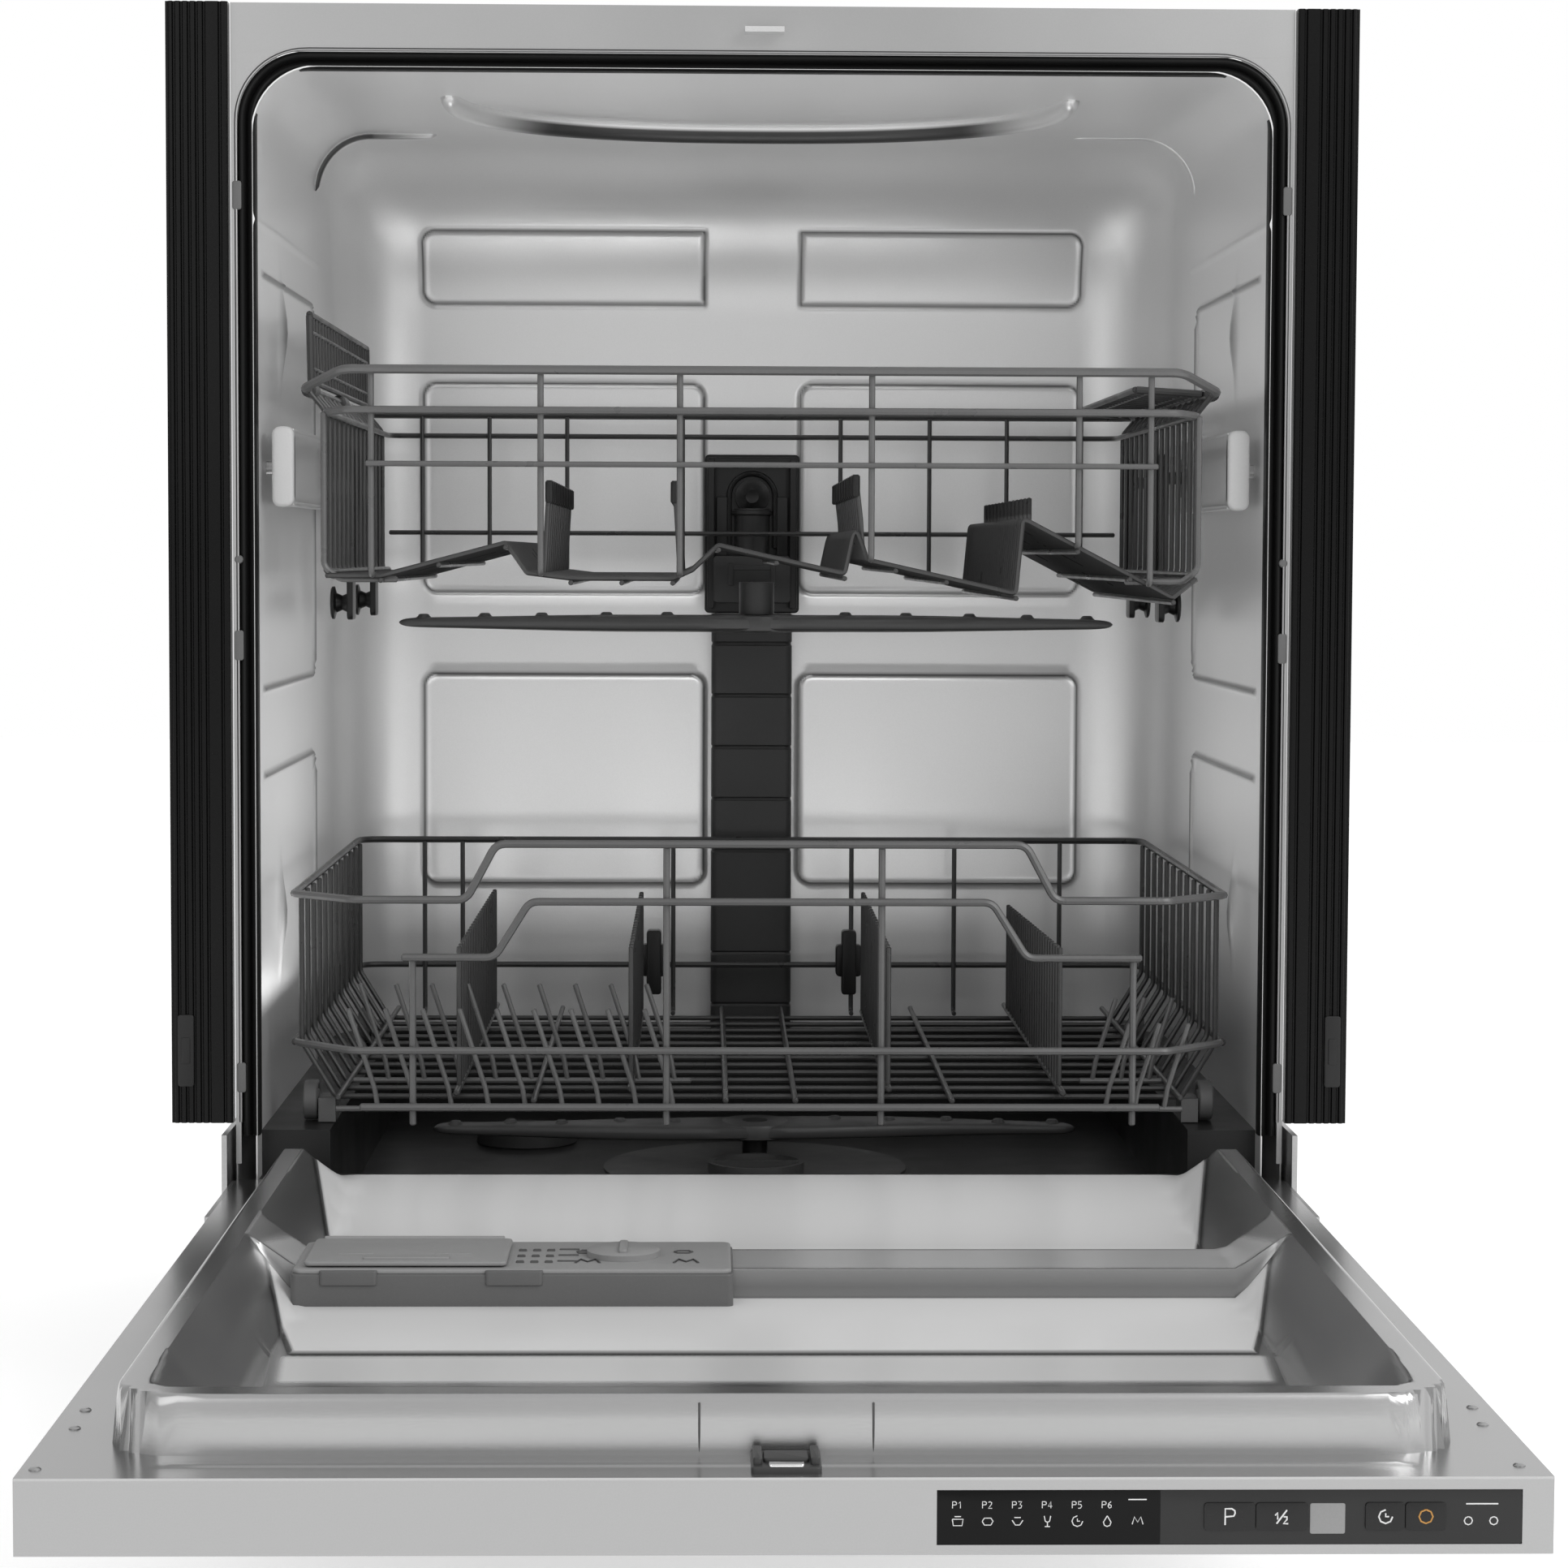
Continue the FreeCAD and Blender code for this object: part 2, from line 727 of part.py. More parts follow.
def make_tub_floor():
    """Plastic floor: side ledges for the wheels, a basin and a front sill."""
    floor = body("tub_floor")
    low = basin_level - floor_wall
    lip = ledge_level - floor_wall
    wall = floor_half + floor_wall
    section = [(-tub_half, lip), (-wall, lip), (-wall, low), (wall, low), (wall, lip),
               (tub_half, lip), (tub_half, ledge_level), (floor_half, ledge_level),
               (floor_half, basin_level), (-floor_half, basin_level),
               (-floor_half, ledge_level), (-tub_half, ledge_level)]
    pad(floor, "XZ", [section], front + sill_depth, front + basin_back)
    pad(floor, "XY", [rect(both(tub_half), (front + sill_start, front + sill_depth))],
        sill_level - floor_wall, sill_level)
    pad(floor, "XZ", [rect(both(wall), (low, sill_level))],
        front + sill_depth - floor_wall, front + sill_depth)
    pad(floor, "XZ", [rect((-tub_half, -floor_half), (sill_level, ledge_level)),
                      rect((floor_half, tub_half), (sill_level, ledge_level))],
        front + sill_depth - floor_wall, front + sill_depth)
    pad(floor, "XZ", [rect(both(wall), (low, ledge_level))],
        front + basin_back, front + basin_back + floor_wall)
    pad(floor, "XY", [rect(both(tub_half), (front + basin_back, front + tub_depth))],
        lip, ledge_level)
    pocket(floor, "XY", [(0, arm_centre, sump_radius), (-salt_x, front + salt_y, salt_neck)],
           low, basin_level)


def make_sump():
    """Sump cup under the floor, with the spigot that carries the lower spray arm."""
    top = basin_level
    outside = rod("sump_outside", "z", (0, arm_centre, sump_low), top - sump_low, sump_radius)
    inside = rod("sump_inside", "z", (0, arm_centre, sump_low + sump_wall),
                 top - sump_low, sump_radius - sump_wall)
    cup = cut("sump_cup", outside, [inside])
    spigot = rod("sump_spigot", "z", (0, arm_centre, sump_low),
                 lower_arm_level + arm_thick - sump_low, arm_bearing)
    keep("sump_housing", join("sump_housing", [cup, spigot]))


def make_filters():
    """Flat stainless filter over the sump and the twist-out filter cup."""
    disc = rod("filter_disc", "z", (0, arm_centre, basin_level), filter_sheet, filter_radius)
    hub = rod("filter_hub", "z", (0, arm_centre, basin_level), filter_sheet,
              arm_bearing + fit)
    seat = rod("filter_seat", "z", (0, arm_centre - cup_offset, basin_level), filter_sheet,
               cup_radius + fit)
    keep("filter_plate", cut("filter_plate", disc, [hub, seat]))
    low = basin_level + filter_sheet + cup_rise - cup_height
    outside = rod("cup_outside", "z", (0, arm_centre - cup_offset, low), cup_height,
                  cup_radius)
    inside = rod("cup_inside", "z", (0, arm_centre - cup_offset, low + sump_wall),
                 cup_height, cup_radius - sump_wall)
    grip = block("cup_grip", both(cup_radius - sump_wall / 2),
                 (arm_centre - cup_offset - sump_wall, arm_centre - cup_offset + sump_wall),
                 (low + cup_height - cup_rise, low + cup_height))
    keep("filter_cup", join("filter_cup", [cut("cup_shell", outside, [inside]), grip]))


def make_salt():
    """Water softener's salt container below the floor, and its screw cap."""
    x = -salt_x
    y = front + salt_y
    low = base_level + base_wall
    floor_low = basin_level - floor_wall
    tank = rod("salt_tank", "z", (x, y, low), floor_low - low, salt_radius)
    neck = rod("salt_neck_rod", "z", (x, y, low), basin_level + gap - low, salt_neck)
    mouth = rod("salt_mouth", "z", (x, y, low + sump_wall), basin_level - low,
                salt_neck - sump_wall)
    room = rod("salt_room", "z", (x, y, low + sump_wall),
               floor_low - low - 2 * sump_wall, salt_radius - sump_wall)
    keep("salt_container", cut("salt_container", join("salt_walls", [tank, neck]),
                               [mouth, room]))
    start = basin_level + 2 * gap
    lid = rod("salt_lid", "z", (x, y, start), salt_cap_height - sump_wall, salt_cap_radius)
    grip = block("salt_grip", (x - salt_neck, x + salt_neck), (y - sump_wall, y + sump_wall),
                 (start, start + salt_cap_height))
    keep("salt_cap", join("salt_cap", [lid, grip]))


def make_base():
    """Plastic base pan with three foot bosses, and the recessed kick plate."""
    pan = body("base_pan")
    edge = half - case_sheet
    ys = (front + base_front, front + base_back)
    inner = (ys[0] + base_wall, ys[1] - base_wall)
    bosses = [(-foot_x, front + foot_front_y, foot_boss),
              (foot_x, front + foot_front_y, foot_boss),
              (Size.of(0), front + foot_rear_y, foot_boss)]
    pad(pan, "XY", [rect(both(edge), ys)], base_level, base_top)
    pocket(pan, "XY", [rect(both(edge - base_wall), inner)], base_level + base_wall, base_top)
    pad(pan, "XY", bosses, base_level, foot_stem_top)
    bores = [(x, y, foot_stem + fit) for x, y, radius in bosses]
    pocket(pan, "XY", bores, base_level, foot_stem_top)
    outlets = [(drain_x, pump_level, spigot_radius - neck_step),
               (inlet_x, pump_level, inlet_radius - neck_step),
               (gland_x, pump_level, gland_radius)]
    pocket(pan, "XZ", outlets, ys[1] - base_wall, ys[1])
    plate = block("kick_plate", both(edge), (ys[0] - kick_sheet, ys[0]),
                  (base_level, base_top))
    keep("kick_plate", plate)


def make_feet():
    """Levelling feet that turn in the base pan."""
    places = {"foot_front_left": (-foot_x, foot_front_y), "foot_front_right": (foot_x, foot_front_y),
              "foot_rear": (Size.of(0), foot_rear_y)}
    for label, (x, y) in places.items():
        disc = rod("foot_disc", "z", (x, front + y, 0), foot_pad_height, foot_pad)
        stem = rod("foot_stem_rod", "z", (x, front + y, 0), foot_stem_top, foot_stem)
        keep(label, join(label, [disc, stem]))


def make_pumps():
    """Circulation pump, drain pump with its spigot, water inlet and cable gland."""
    casing = rod("pump_casing", "x", (pump_x, front + pump_y, pump_level), pump_length,
                 pump_radius)
    motor = rod("pump_motor", "x", (pump_x + pump_length, front + pump_y, pump_level),
                pump_length / 3, pump_radius * 0.7)
    keep("circulation_pump", join("circulation_pump", [casing, motor]))
    back = front + base_back - base_wall
    outer_end = front + base_back
    start = front + pump_y
    casing = rod("drain_casing", "y", (drain_x, start, pump_level), drain_length,
                 drain_radius)
    neck = rod("drain_neck", "y", (drain_x, start, pump_level), outer_end - start,
               spigot_radius - neck_step)
    spigot = rod("drain_spigot", "y", (drain_x, outer_end, pump_level), spigot_length,
                 spigot_radius)
    bore = rod("drain_bore", "y", (drain_x, outer_end - spigot_length, pump_level),
               2 * spigot_length, spigot_bore)
    keep("drain_pump", cut("drain_pump", join("drain_walls", [casing, neck, spigot]), [bore]))
    valve = block("inlet_valve", (inlet_x - 2 * inlet_radius, inlet_x + 2 * inlet_radius),
                  (back - 4 * inlet_radius, back),
                  (pump_level - 2 * inlet_radius, pump_level + 2 * inlet_radius))
    neck = rod("inlet_neck", "y", (inlet_x, back, pump_level), base_wall,
               inlet_radius - neck_step)
    thread = rod("inlet_thread", "y", (inlet_x, outer_end, pump_level), inlet_length,
                 inlet_radius)
    drill = rod("inlet_drill", "y", (inlet_x, outer_end - inlet_length, pump_level),
                2 * inlet_length, inlet_bore)
    keep("water_inlet", cut("water_inlet", join("inlet_walls", [valve, neck, thread]),
                            [drill]))
    sleeve = rod("gland_sleeve", "y", (gland_x, back - base_wall, pump_level),
                 gland_length, gland_radius)
    collar = rod("gland_collar", "y", (gland_x, outer_end, pump_level), base_wall,
                 gland_radius + base_wall)
    hole = rod("gland_hole", "y", (gland_x, back - base_wall, pump_level), gland_length,
               gland_bore)
    keep("cable_gland", cut("cable_gland", join("gland_walls", [sleeve, collar]), [hole]))


def make_insulation():
    """Felt blanket on top of the tub."""
    keep("top_insulation", block("top_insulation", both(tub_half - tub_corner - felt),
                                 (front + frame_flange, front + wrapper_depth),
                                 (ceiling, ceiling + felt)))


def make_duct():
    """Ribbed water duct on the rear wall and the dock the upper rack plugs into."""
    back = front + tub_depth
    keep("rear_duct", block("rear_duct", both(duct_half), (back - duct_thick, back),
                            (ledge_level, dock_low)))
    shell = block("dock_shell", both(dock_half), (back - dock_thick, back),
                  (dock_low, dock_high))
    port = rod("dock_port", "y", (0, back - dock_thick, feed_level), dock_thick / 2,
               feed_radius)
    keep("spray_dock", cut("spray_dock", shell, [port]))


def make_rails():
    """Telescopic rails: wall axles, wall rollers, the moving channels and their caps."""
    axles, caps, channels = [], [], []
    rollers = {"rail_rollers_front": (wall_roller_front, []),
               "rail_rollers_rear": (wall_roller_rear, [])}
    wall = tub_half - tub_sheet
    for side in (-1, 1):
        for label, (y, parts) in rollers.items():
            spot = front + y
            pin = span(side, web_outer + gap, wall)
            axles.append(rod("rail_axle", "x", (pin[0], spot, rail_mid), pin[1] - pin[0],
                             roller_axle))
            tread = span(side, web_outer + gap, web_outer + gap + roller_width)
            disc = rod("roller_disc", "x", (tread[0], spot, rail_mid), roller_width,
                       roller_radius)
            bore = rod("roller_bore", "x", (tread[0], spot, rail_mid), roller_width,
                       roller_axle + fit)
            parts.append(cut("wall_roller", disc, [bore]))
        ys = (front + rail_front, front + rail_back)
        web = block("rail_web_plate", span(side, web_inner, web_outer), ys,
                    (rail_low, rail_high))
        low = block("rail_low_flange", span(side, rail_inner, rail_outer), ys,
                    (rail_low, rail_low + rail_sheet))
        high = block("rail_high_flange", span(side, rail_inner, rail_outer), ys,
                     (rail_high - rail_sheet, rail_high))
        channels.append(join("rail_side", [web, low, high]))
        cap = block("rail_cap_box", span(side, rail_inner, rail_outer),
                    (front + rail_front - rail_cap, front + rail_front),
                    (rail_low, rail_high))
        caps.append(cap)
    keep("rail_axles", group("rail_axles", axles))
    keep("rail_channels", group("rail_channels", channels))
    keep("rail_end_caps", group("rail_end_caps", caps))
    for label, (y, parts) in rollers.items():
        keep(label, group(label, parts))


def make_arm(label, half_length, level):
    """Flat spray arm on a round hub, with a bearing bore."""
    arm = body(label)
    y = arm_centre
    outline = [(-half_length, y - arm_tip), (-arm_hub, y - arm_mid), (arm_hub, y - arm_mid),
               (half_length, y - arm_tip), (half_length, y + arm_tip),
               (arm_hub, y + arm_mid), (-arm_hub, y + arm_mid), (-half_length, y + arm_tip)]
    pad(arm, "XY", [outline], level, level + arm_thick)
    round_edges(arm, "XY", [(-half_length, y - arm_tip), (half_length, y - arm_tip),
                            (half_length, y + arm_tip), (-half_length, y + arm_tip)],
                arm_tip * 0.9)
    pad(arm, "XY", [(Size.of(0), y, arm_hub)], level, level + arm_thick)
    pocket(arm, "XY", [(Size.of(0), y, arm_bearing + fit)], level, level + arm_thick)


# ------------------------------------------------------------------ door and hinges
def make_hinges():
    """Hinge arms on the door, brackets with pins on the case, and the spring pair."""
    arms, brackets, springs = [], [], []
    for side in (-1, 1):
        outside = door_half + arm_sheet
        arm_x = span(side, door_half, outside)
        plate = block("arm_plate", arm_x, (front - hinge_arm_length, hinge_end),
                      (hinge_arm_low, hinge_arm_high))
        bore = rod("arm_bore", "x", (arm_x[0], hinge_y, hinge_level), arm_sheet,
                   hinge_pin + fit)
        arms.append(cut("hinge_arm", plate, [bore]))
        bracket_in = outside + gap
        bracket_out = bracket_in + arm_sheet
        sheet_x = span(side, bracket_in, bracket_out)
        outer = block("bracket_plate", sheet_x,
                      (hinge_y - 2 * hinge_pin, front + bracket_back),
                      (bracket_low, bracket_high))
        seat = block("bracket_seat_block", span(side, half, bracket_in),
                     (front + bracket_seat, front + bracket_back),
                     (bracket_low, bracket_high))
        pin_x = span(side, door_half + gap, bracket_in)
        pin = rod("bracket_pin", "x", (pin_x[0], hinge_y, hinge_level), pin_x[1] - pin_x[0],
                  hinge_pin)
        brackets.append(join("hinge_bracket", [outer, seat, pin]))
        lug_x = span(side, tub_half + gap, half - case_sheet)
        brackets.append(block("spring_lug", lug_x,
                              (front + spring_y - 2 * spring_radius,
                               front + spring_y + 2 * spring_radius),
                              (spring_top, spring_top + arm_sheet)))
        springs.append(make_spring(side))
    keep("hinge_arms", group("hinge_arms", arms))
    keep("hinge_brackets", group("hinge_brackets", brackets))
    shaped("door_springs", Part.makeCompound(springs))


def make_spring(side):
    """Coil spring between the base pan and its lug on the side sheet."""
    radius = float(spring_radius)
    thick = float(spring_wire) / 2
    low = float(base_top) + thick
    length = float(spring_top) - thick - low
    x = side * float(tub_half + half - case_sheet) / 2
    helix = Part.makeHelix(length / spring_turns, length, radius)
    ring = Part.Wire(Part.Circle(vec(radius, 0, 0), vec(0, 1, 0), thick).toShape())
    coil = Part.Wire(helix.Edges).makePipeShell([ring], True, True)
    coil.translate(vec(x, float(front + spring_y), low))
    return coil


def make_door_shell():
    """Outer pan, stainless liner and the fascia bar across the door's far end."""
    pan = body("door_outer_panel")
    top = door_plane - door_sheet
    ys = (fascia_y, hinge_end)
    pad(pan, "XY", [rect(both(door_half), ys)], door_low, top)
    pocket(pan, "XY", [rect(both(door_half - door_sheet),
                            (ys[0] + door_sheet, ys[1] - door_sheet))],
           door_low + door_sheet, top)
    near = front - panel_hole_first - panel_hole_y
    far = front - panel_hole_first
    holes = [(side * panel_hole_x / 2, y, panel_hole) for side in (-1, 1)
             for y in (near, far)]
    pocket(pan, "XY", holes, door_low, door_low + door_sheet)
    latch = rect(both(latch_half + gap), (fascia_y, front - latch_far + gap))
    pocket(pan, "XY", [latch], latch_low - gap, top)


def make_liner():
    """Pressed liner: flat border, raised rim, sunk field, ramp and cross bar."""
    liner = body("door_liner")
    top = door_plane
    under = door_plane - door_sheet
    inner = rim_half - rim_width
    near = front - rim_end
    field_near = near + rim_end_width
    start = front - rim_start
    field_under = recess_level - door_sheet
    skin = door_sheet
    pad(liner, "XY", [rect(both(door_half), (end_y + key_proud, hinge_end))], under, top)
    pad(liner, "XY", [rect(both(rim_half), (near, start))], field_under, rim_level)
    round_edges(liner, "XY", [(-rim_half, near), (rim_half, near)], rim_corner)
    ramp_y = front - ramp_end
    pocket(liner, "XY", [rect(both(inner), (field_near, hinge_end))], recess_level,
           rim_level)
    slope = [(ramp_y, field_under), (ramp_y, recess_level), (hinge_end - skin, top),
             (hinge_end, top), (hinge_end, under), (hinge_end - skin, under)]
    pad(liner, "YZ", [slope], -inner, inner)
    hollow = [(-rim_half + skin, start - skin), (-rim_half + skin, near + skin),
              (rim_half - skin, near + skin), (rim_half - skin, start - skin),
              (inner + skin, start - skin), (inner + skin, field_near - skin),
              (-inner - skin, field_near - skin), (-inner - skin, start - skin)]
    pocket(liner, "XY", [hollow], field_under, rim_level - skin)
    bar_left = dispenser_right + 2 * skin
    bar = rect((bar_left, inner), (front - bar_near, front - bar_far))
    pad(liner, "XY", [bar], recess_level, bar_level)
    core = rect((bar_left + skin, inner - skin),
                (front - bar_near + skin, front - bar_far - skin))
    pocket(liner, "XY", [core], field_under, bar_level - skin)
    mouth = rect(both(latch_half), (front - latch_near, front - latch_far))
    pocket(liner, "XY", [mouth], under, top)


def make_fascia():
    """Bar across the far end with the control window, its keys and the latch pocket."""
    bar = body("control_fascia")
    face = end_y + key_proud
    under = door_plane - door_sheet
    pad(bar, "XY", [rect(both(door_half), (face, fascia_y))], door_low, under)
    room = rect(both(door_half - fascia_wall), (door_low + fascia_wall, under - fascia_wall))
    pocket(bar, "XZ", [room], face + fascia_wall, fascia_y)
    opening = rect((strip_left, strip_right), (strip_low, strip_high))
    pocket(bar, "XZ", [opening], face, face + fascia_wall)
    latch = rect(both(latch_half + gap), (front - latch_near - gap, fascia_y))
    pocket(bar, "XY", [latch], latch_low - gap, under)

    window = body("control_window")
    pad(window, "XZ", [opening], face, face + strip_thick)
    key_zs = (key_low - key_gap, key_high + key_gap)
    pairs = [rect((key_program_left - key_gap, key_half_right + key_gap), key_zs),
             rect((key_delay_left - key_gap, key_power_right + key_gap), key_zs)]
    pocket(window, "XZ", pairs, face, face + strip_thick)

    spans = {"key_program": (key_program_left, key_half_left - key_gap),
             "key_half_load": (key_half_left, key_half_right),
             "key_delay": (key_delay_left, key_power_left - key_gap),
             "key_power": (key_power_left, key_power_right)}
    for label, xs in spans.items():
        keep(label, block(label, xs, (end_y, end_y + key_depth), (key_low, key_high)))


def make_latch():
    """Latch catch in the door and the striker tongue on the frame."""
    xs = both(latch_half)
    ys = (front - latch_near, front - latch_far)
    case = block("latch_case", xs, ys, (latch_low, door_plane))
    slot = block("latch_slot", both(striker_half + 2 * arm_sheet / 3),
                 (ys[0] + arm_sheet / 2, ys[1] - 5 * arm_sheet), (latch_low + arm_sheet, door_plane))
    keep("latch_catch", cut("latch_catch", case, [slot]))
    tongue = block("striker_tongue", both(striker_half),
                   (front - striker_reach, front), (striker_low, striker_low + striker_thick))
    keep("latch_striker", tongue)


def make_dispenser():
    """Detergent and rinse aid dispenser with its lid and cap."""
    case = body("dispenser_body")
    ys = (front - dispenser_near, front - dispenser_far)
    pad(case, "XY", [rect((dispenser_left, dispenser_right), ys)], recess_level,
        dispenser_level)
    cup = rect((soap_left, soap_right), (front - soap_near, front - soap_far))
    pocket(case, "XY", [cup], soap_floor, dispenser_level)
    pocket(case, "XY", [(rinse_x, front - rinse_y, rinse_radius * 0.7 + fit)], soap_floor,
           dispenser_level)
    low = dispenser_level + gap
    ys = (front - soap_near - lid_margin, front - lid_axis_far)
    cover = block("lid_plate", (soap_left - lid_margin, soap_right + lid_margin), ys,
                  (low, low + lid_sheet))
    barrel = rod("lid_barrel_rod", "x", (soap_left, ys[1], low + lid_barrel_rise),
                 soap_right - soap_left, lid_barrel)
    keep("detergent_lid", join("detergent_lid", [cover, barrel]))
    head = rod("rinse_head", "z", (rinse_x, front - rinse_y, low), rinse_rise, rinse_radius)
    plug = rod("rinse_plug", "z", (rinse_x, front - rinse_y, soap_floor + gap),
               low - soap_floor - gap, rinse_radius * 0.7)
    keep("rinse_aid_cap", join("rinse_aid_cap", [head, plug]))


# ------------------------------------------------------------------ upper rack
def height_on(profile, x):
    """Height of a line of (x, z) points at one x."""
    for (x_a, z_a), (x_b, z_b) in zip(profile, profile[1:]):
        if x_a <= x <= x_b:
            return z_a + (z_b - z_a) * (x - x_a) / (x_b - x_a)
    return profile[-1][1]


def front_rail(z, flat, side_x, side_y, y, end_y, diameter, end_z=None):
    """Horizontal wire across the front, turning back at both corners."""
    z_end = z if end_z is None else end_z
    points = [(-side_x, end_y, z_end), (-side_x, side_y, z_end), (-flat, y, z),
              (flat, y, z), (side_x, side_y, z_end), (side_x, end_y, z_end)]
    return wire(points, diameter, 4)


def make_upper_basket():
    """Wire basket: front, rear, two sides and a wavy floor, each welded in itself."""
    f = float(front)
    y_front = f + float(up_front)
    y_back = f + float(up_back)
    y_join = y_front + float(up_pitch)
    r_thin = float(thin_wire) / 2
    half_x = float(up_half)
    rail_x = float(up_rail_half)
    flat = half_x - 13
    low, shoulder = float(up_low), float(up_shoulder)
    posts = [-0.89, -0.505, -0.19, 0.25, 0.72, 0.885]
    step = 0.8 * (float(thin_wire) + float(rail_wire)) / 2

    front_wires = [
        front_rail(float(up_rim), flat, rail_x, y_join - 4, y_front, y_join, rim_wire,
                   float(up_rail)),
        front_rail(shoulder, flat, half_x, y_front + 22, y_front, y_join, rail_wire),
        wire([(-flat, y_front, float(up_third)), (flat, y_front, float(up_third))],
             rail_wire),
        wire([(-flat, y_front, low), (flat, y_front, low)], rail_wire)]
    front_wires += [wire([(p * half_x, y_front + step, low - r_thin),
                          (p * half_x, y_front + step, float(up_rim))], thin_wire)
                    for p in posts]
    back_wires = [wire([(-rail_x, y_back, float(up_rail)), (rail_x, y_back, float(up_rail))],
                       rail_wire),
                  wire([(-flat, y_back, low), (flat, y_back, low)], rail_wire)]
    back_wires += [wire([(p * half_x, y_back - step, low - r_thin),
                         (p * half_x, y_back - step, float(up_rail))], thin_wire)
                   for p in posts]
    panels = [welded(front_wires), welded(back_wires)]
    stop = y_back - float(rail_wire) / 2
    for side in (-1, 1):
        wires = [wire([(side * rail_x, y_join, float(up_rail)),
                       (side * rail_x, stop, float(up_rail))], rail_wire),
                 wire([(side * half_x, y_join, shoulder), (side * half_x, stop, shoulder)],
                      rail_wire),
                 wire([(side * half_x, y_front + 16, low), (side * half_x, stop, low)],
                      rail_wire)]
        outer = half_x + step
        for y in spread(y_join + 6, stop - 8, up_pitch):
            wires.append(wire([(side * outer, y, low - r_thin), (side * outer, y, shoulder + 4),
                               (side * rail_x, y, float(up_rail))], thin_wire, 4))
        panels.append(welded(wires))
    reach = half_x - float(rail_wire) / 2
    wave = [(-reach, low), (-0.87 * half_x, low), (-0.59 * half_x, low + 18),
            (-0.54 * half_x, low + 2), (-0.2 * half_x, low - 1), (-0.1 * half_x, low + 18),
            (0.19 * half_x, low + 2), (0.21 * half_x, low + 30), (0.25 * half_x, low + 10),
            (0.58 * half_x, low - 10), (0.6 * half_x, low + 34), (0.94 * half_x, low - 12),
            (0.965 * half_x, low), (reach, low)]
    start = y_front + 14
    floor_stop = y_back - float(rail_wire) / 2
    places = spread(start, floor_stop - 12, up_floor_pitch)
    floor_wires = [wire([(x, y, z) for x, z in wave], thin_wire, 1.5) for y in places]
    under = 0.55 * float(thin_wire)
    rows = (-0.505 * half_x, -0.2 * half_x, 0.22 * half_x)
    for x in [point[0] for point in wave[1:-2:2]] + list(rows):
        z = height_on(wave, x) - under
        floor_wires.append(wire([(x, y_front + step + r_thin, z),
                                 (x, y_back - step - r_thin, z)], thin_wire))
    for x in rows:
        root = height_on(wave, x) - under
        for y in places[:-2]:
            spot = y + float(up_floor_pitch) / 2
            floor_wires.append(wire([(x, spot, root), (x, spot, float(up_tine_high))],
                                    thin_wire))
    panels.append(welded(floor_wires))
    shaped("upper_rack_basket", Part.makeCompound(panels))


def make_cup_shelf(label, side, folded_up):
    """Slotted cup shelf with two barrels that turn on the basket's side rail."""
    rail_x = side * up_rail_half
    bore = rail_wire / 2 + fit
    ys = (front + shelf_front, front + shelf_back)
    barrels, clear = [], []
    for y in (ys[0], ys[1] - shelf_slot / 2):
        barrels.append(rod("shelf_barrel_rod", "y", (rail_x, y, up_rail), shelf_slot / 2,
                           shelf_barrel))
    clear.append(rod("shelf_bore", "y", (rail_x, ys[0] - gap, up_rail),
                     ys[1] - ys[0] + 2 * gap, bore))
    reach = (shelf_barrel * 0.85, shelf_height)
    thick = (-shelf_sheet / 2, shelf_sheet / 2)
    if folded_up:
        plate = block("shelf_plate", (rail_x + thick[0], rail_x + thick[1]), ys,
                      (up_rail + reach[0], up_rail + reach[1]))
    else:
        plate = block("shelf_plate", (rail_x - reach[1], rail_x - reach[0]), ys,
                      (up_rail + thick[0], up_rail + thick[1]))
    pitch = (ys[1] - ys[0]) / shelf_slots
    for i in range(shelf_slots):
        slot_ys = (ys[0] + pitch * i + pitch / 4, ys[0] + pitch * (i + 1) - pitch / 4)
        if folded_up:
            clear.append(block("shelf_slot_box", (rail_x - shelf_sheet, rail_x + shelf_sheet),
                               slot_ys, (up_rail + shelf_height / 3,
                                         up_rail + shelf_height - shelf_sheet * 2)))
        else:
            clear.append(block("shelf_slot_box",
                               (rail_x - shelf_height + shelf_sheet * 2,
                                rail_x - shelf_height / 3), slot_ys,
                               (up_rail - shelf_sheet, up_rail + shelf_sheet)))
    keep(label, cut(label, join(label + "_solid", barrels + [plate]), clear))


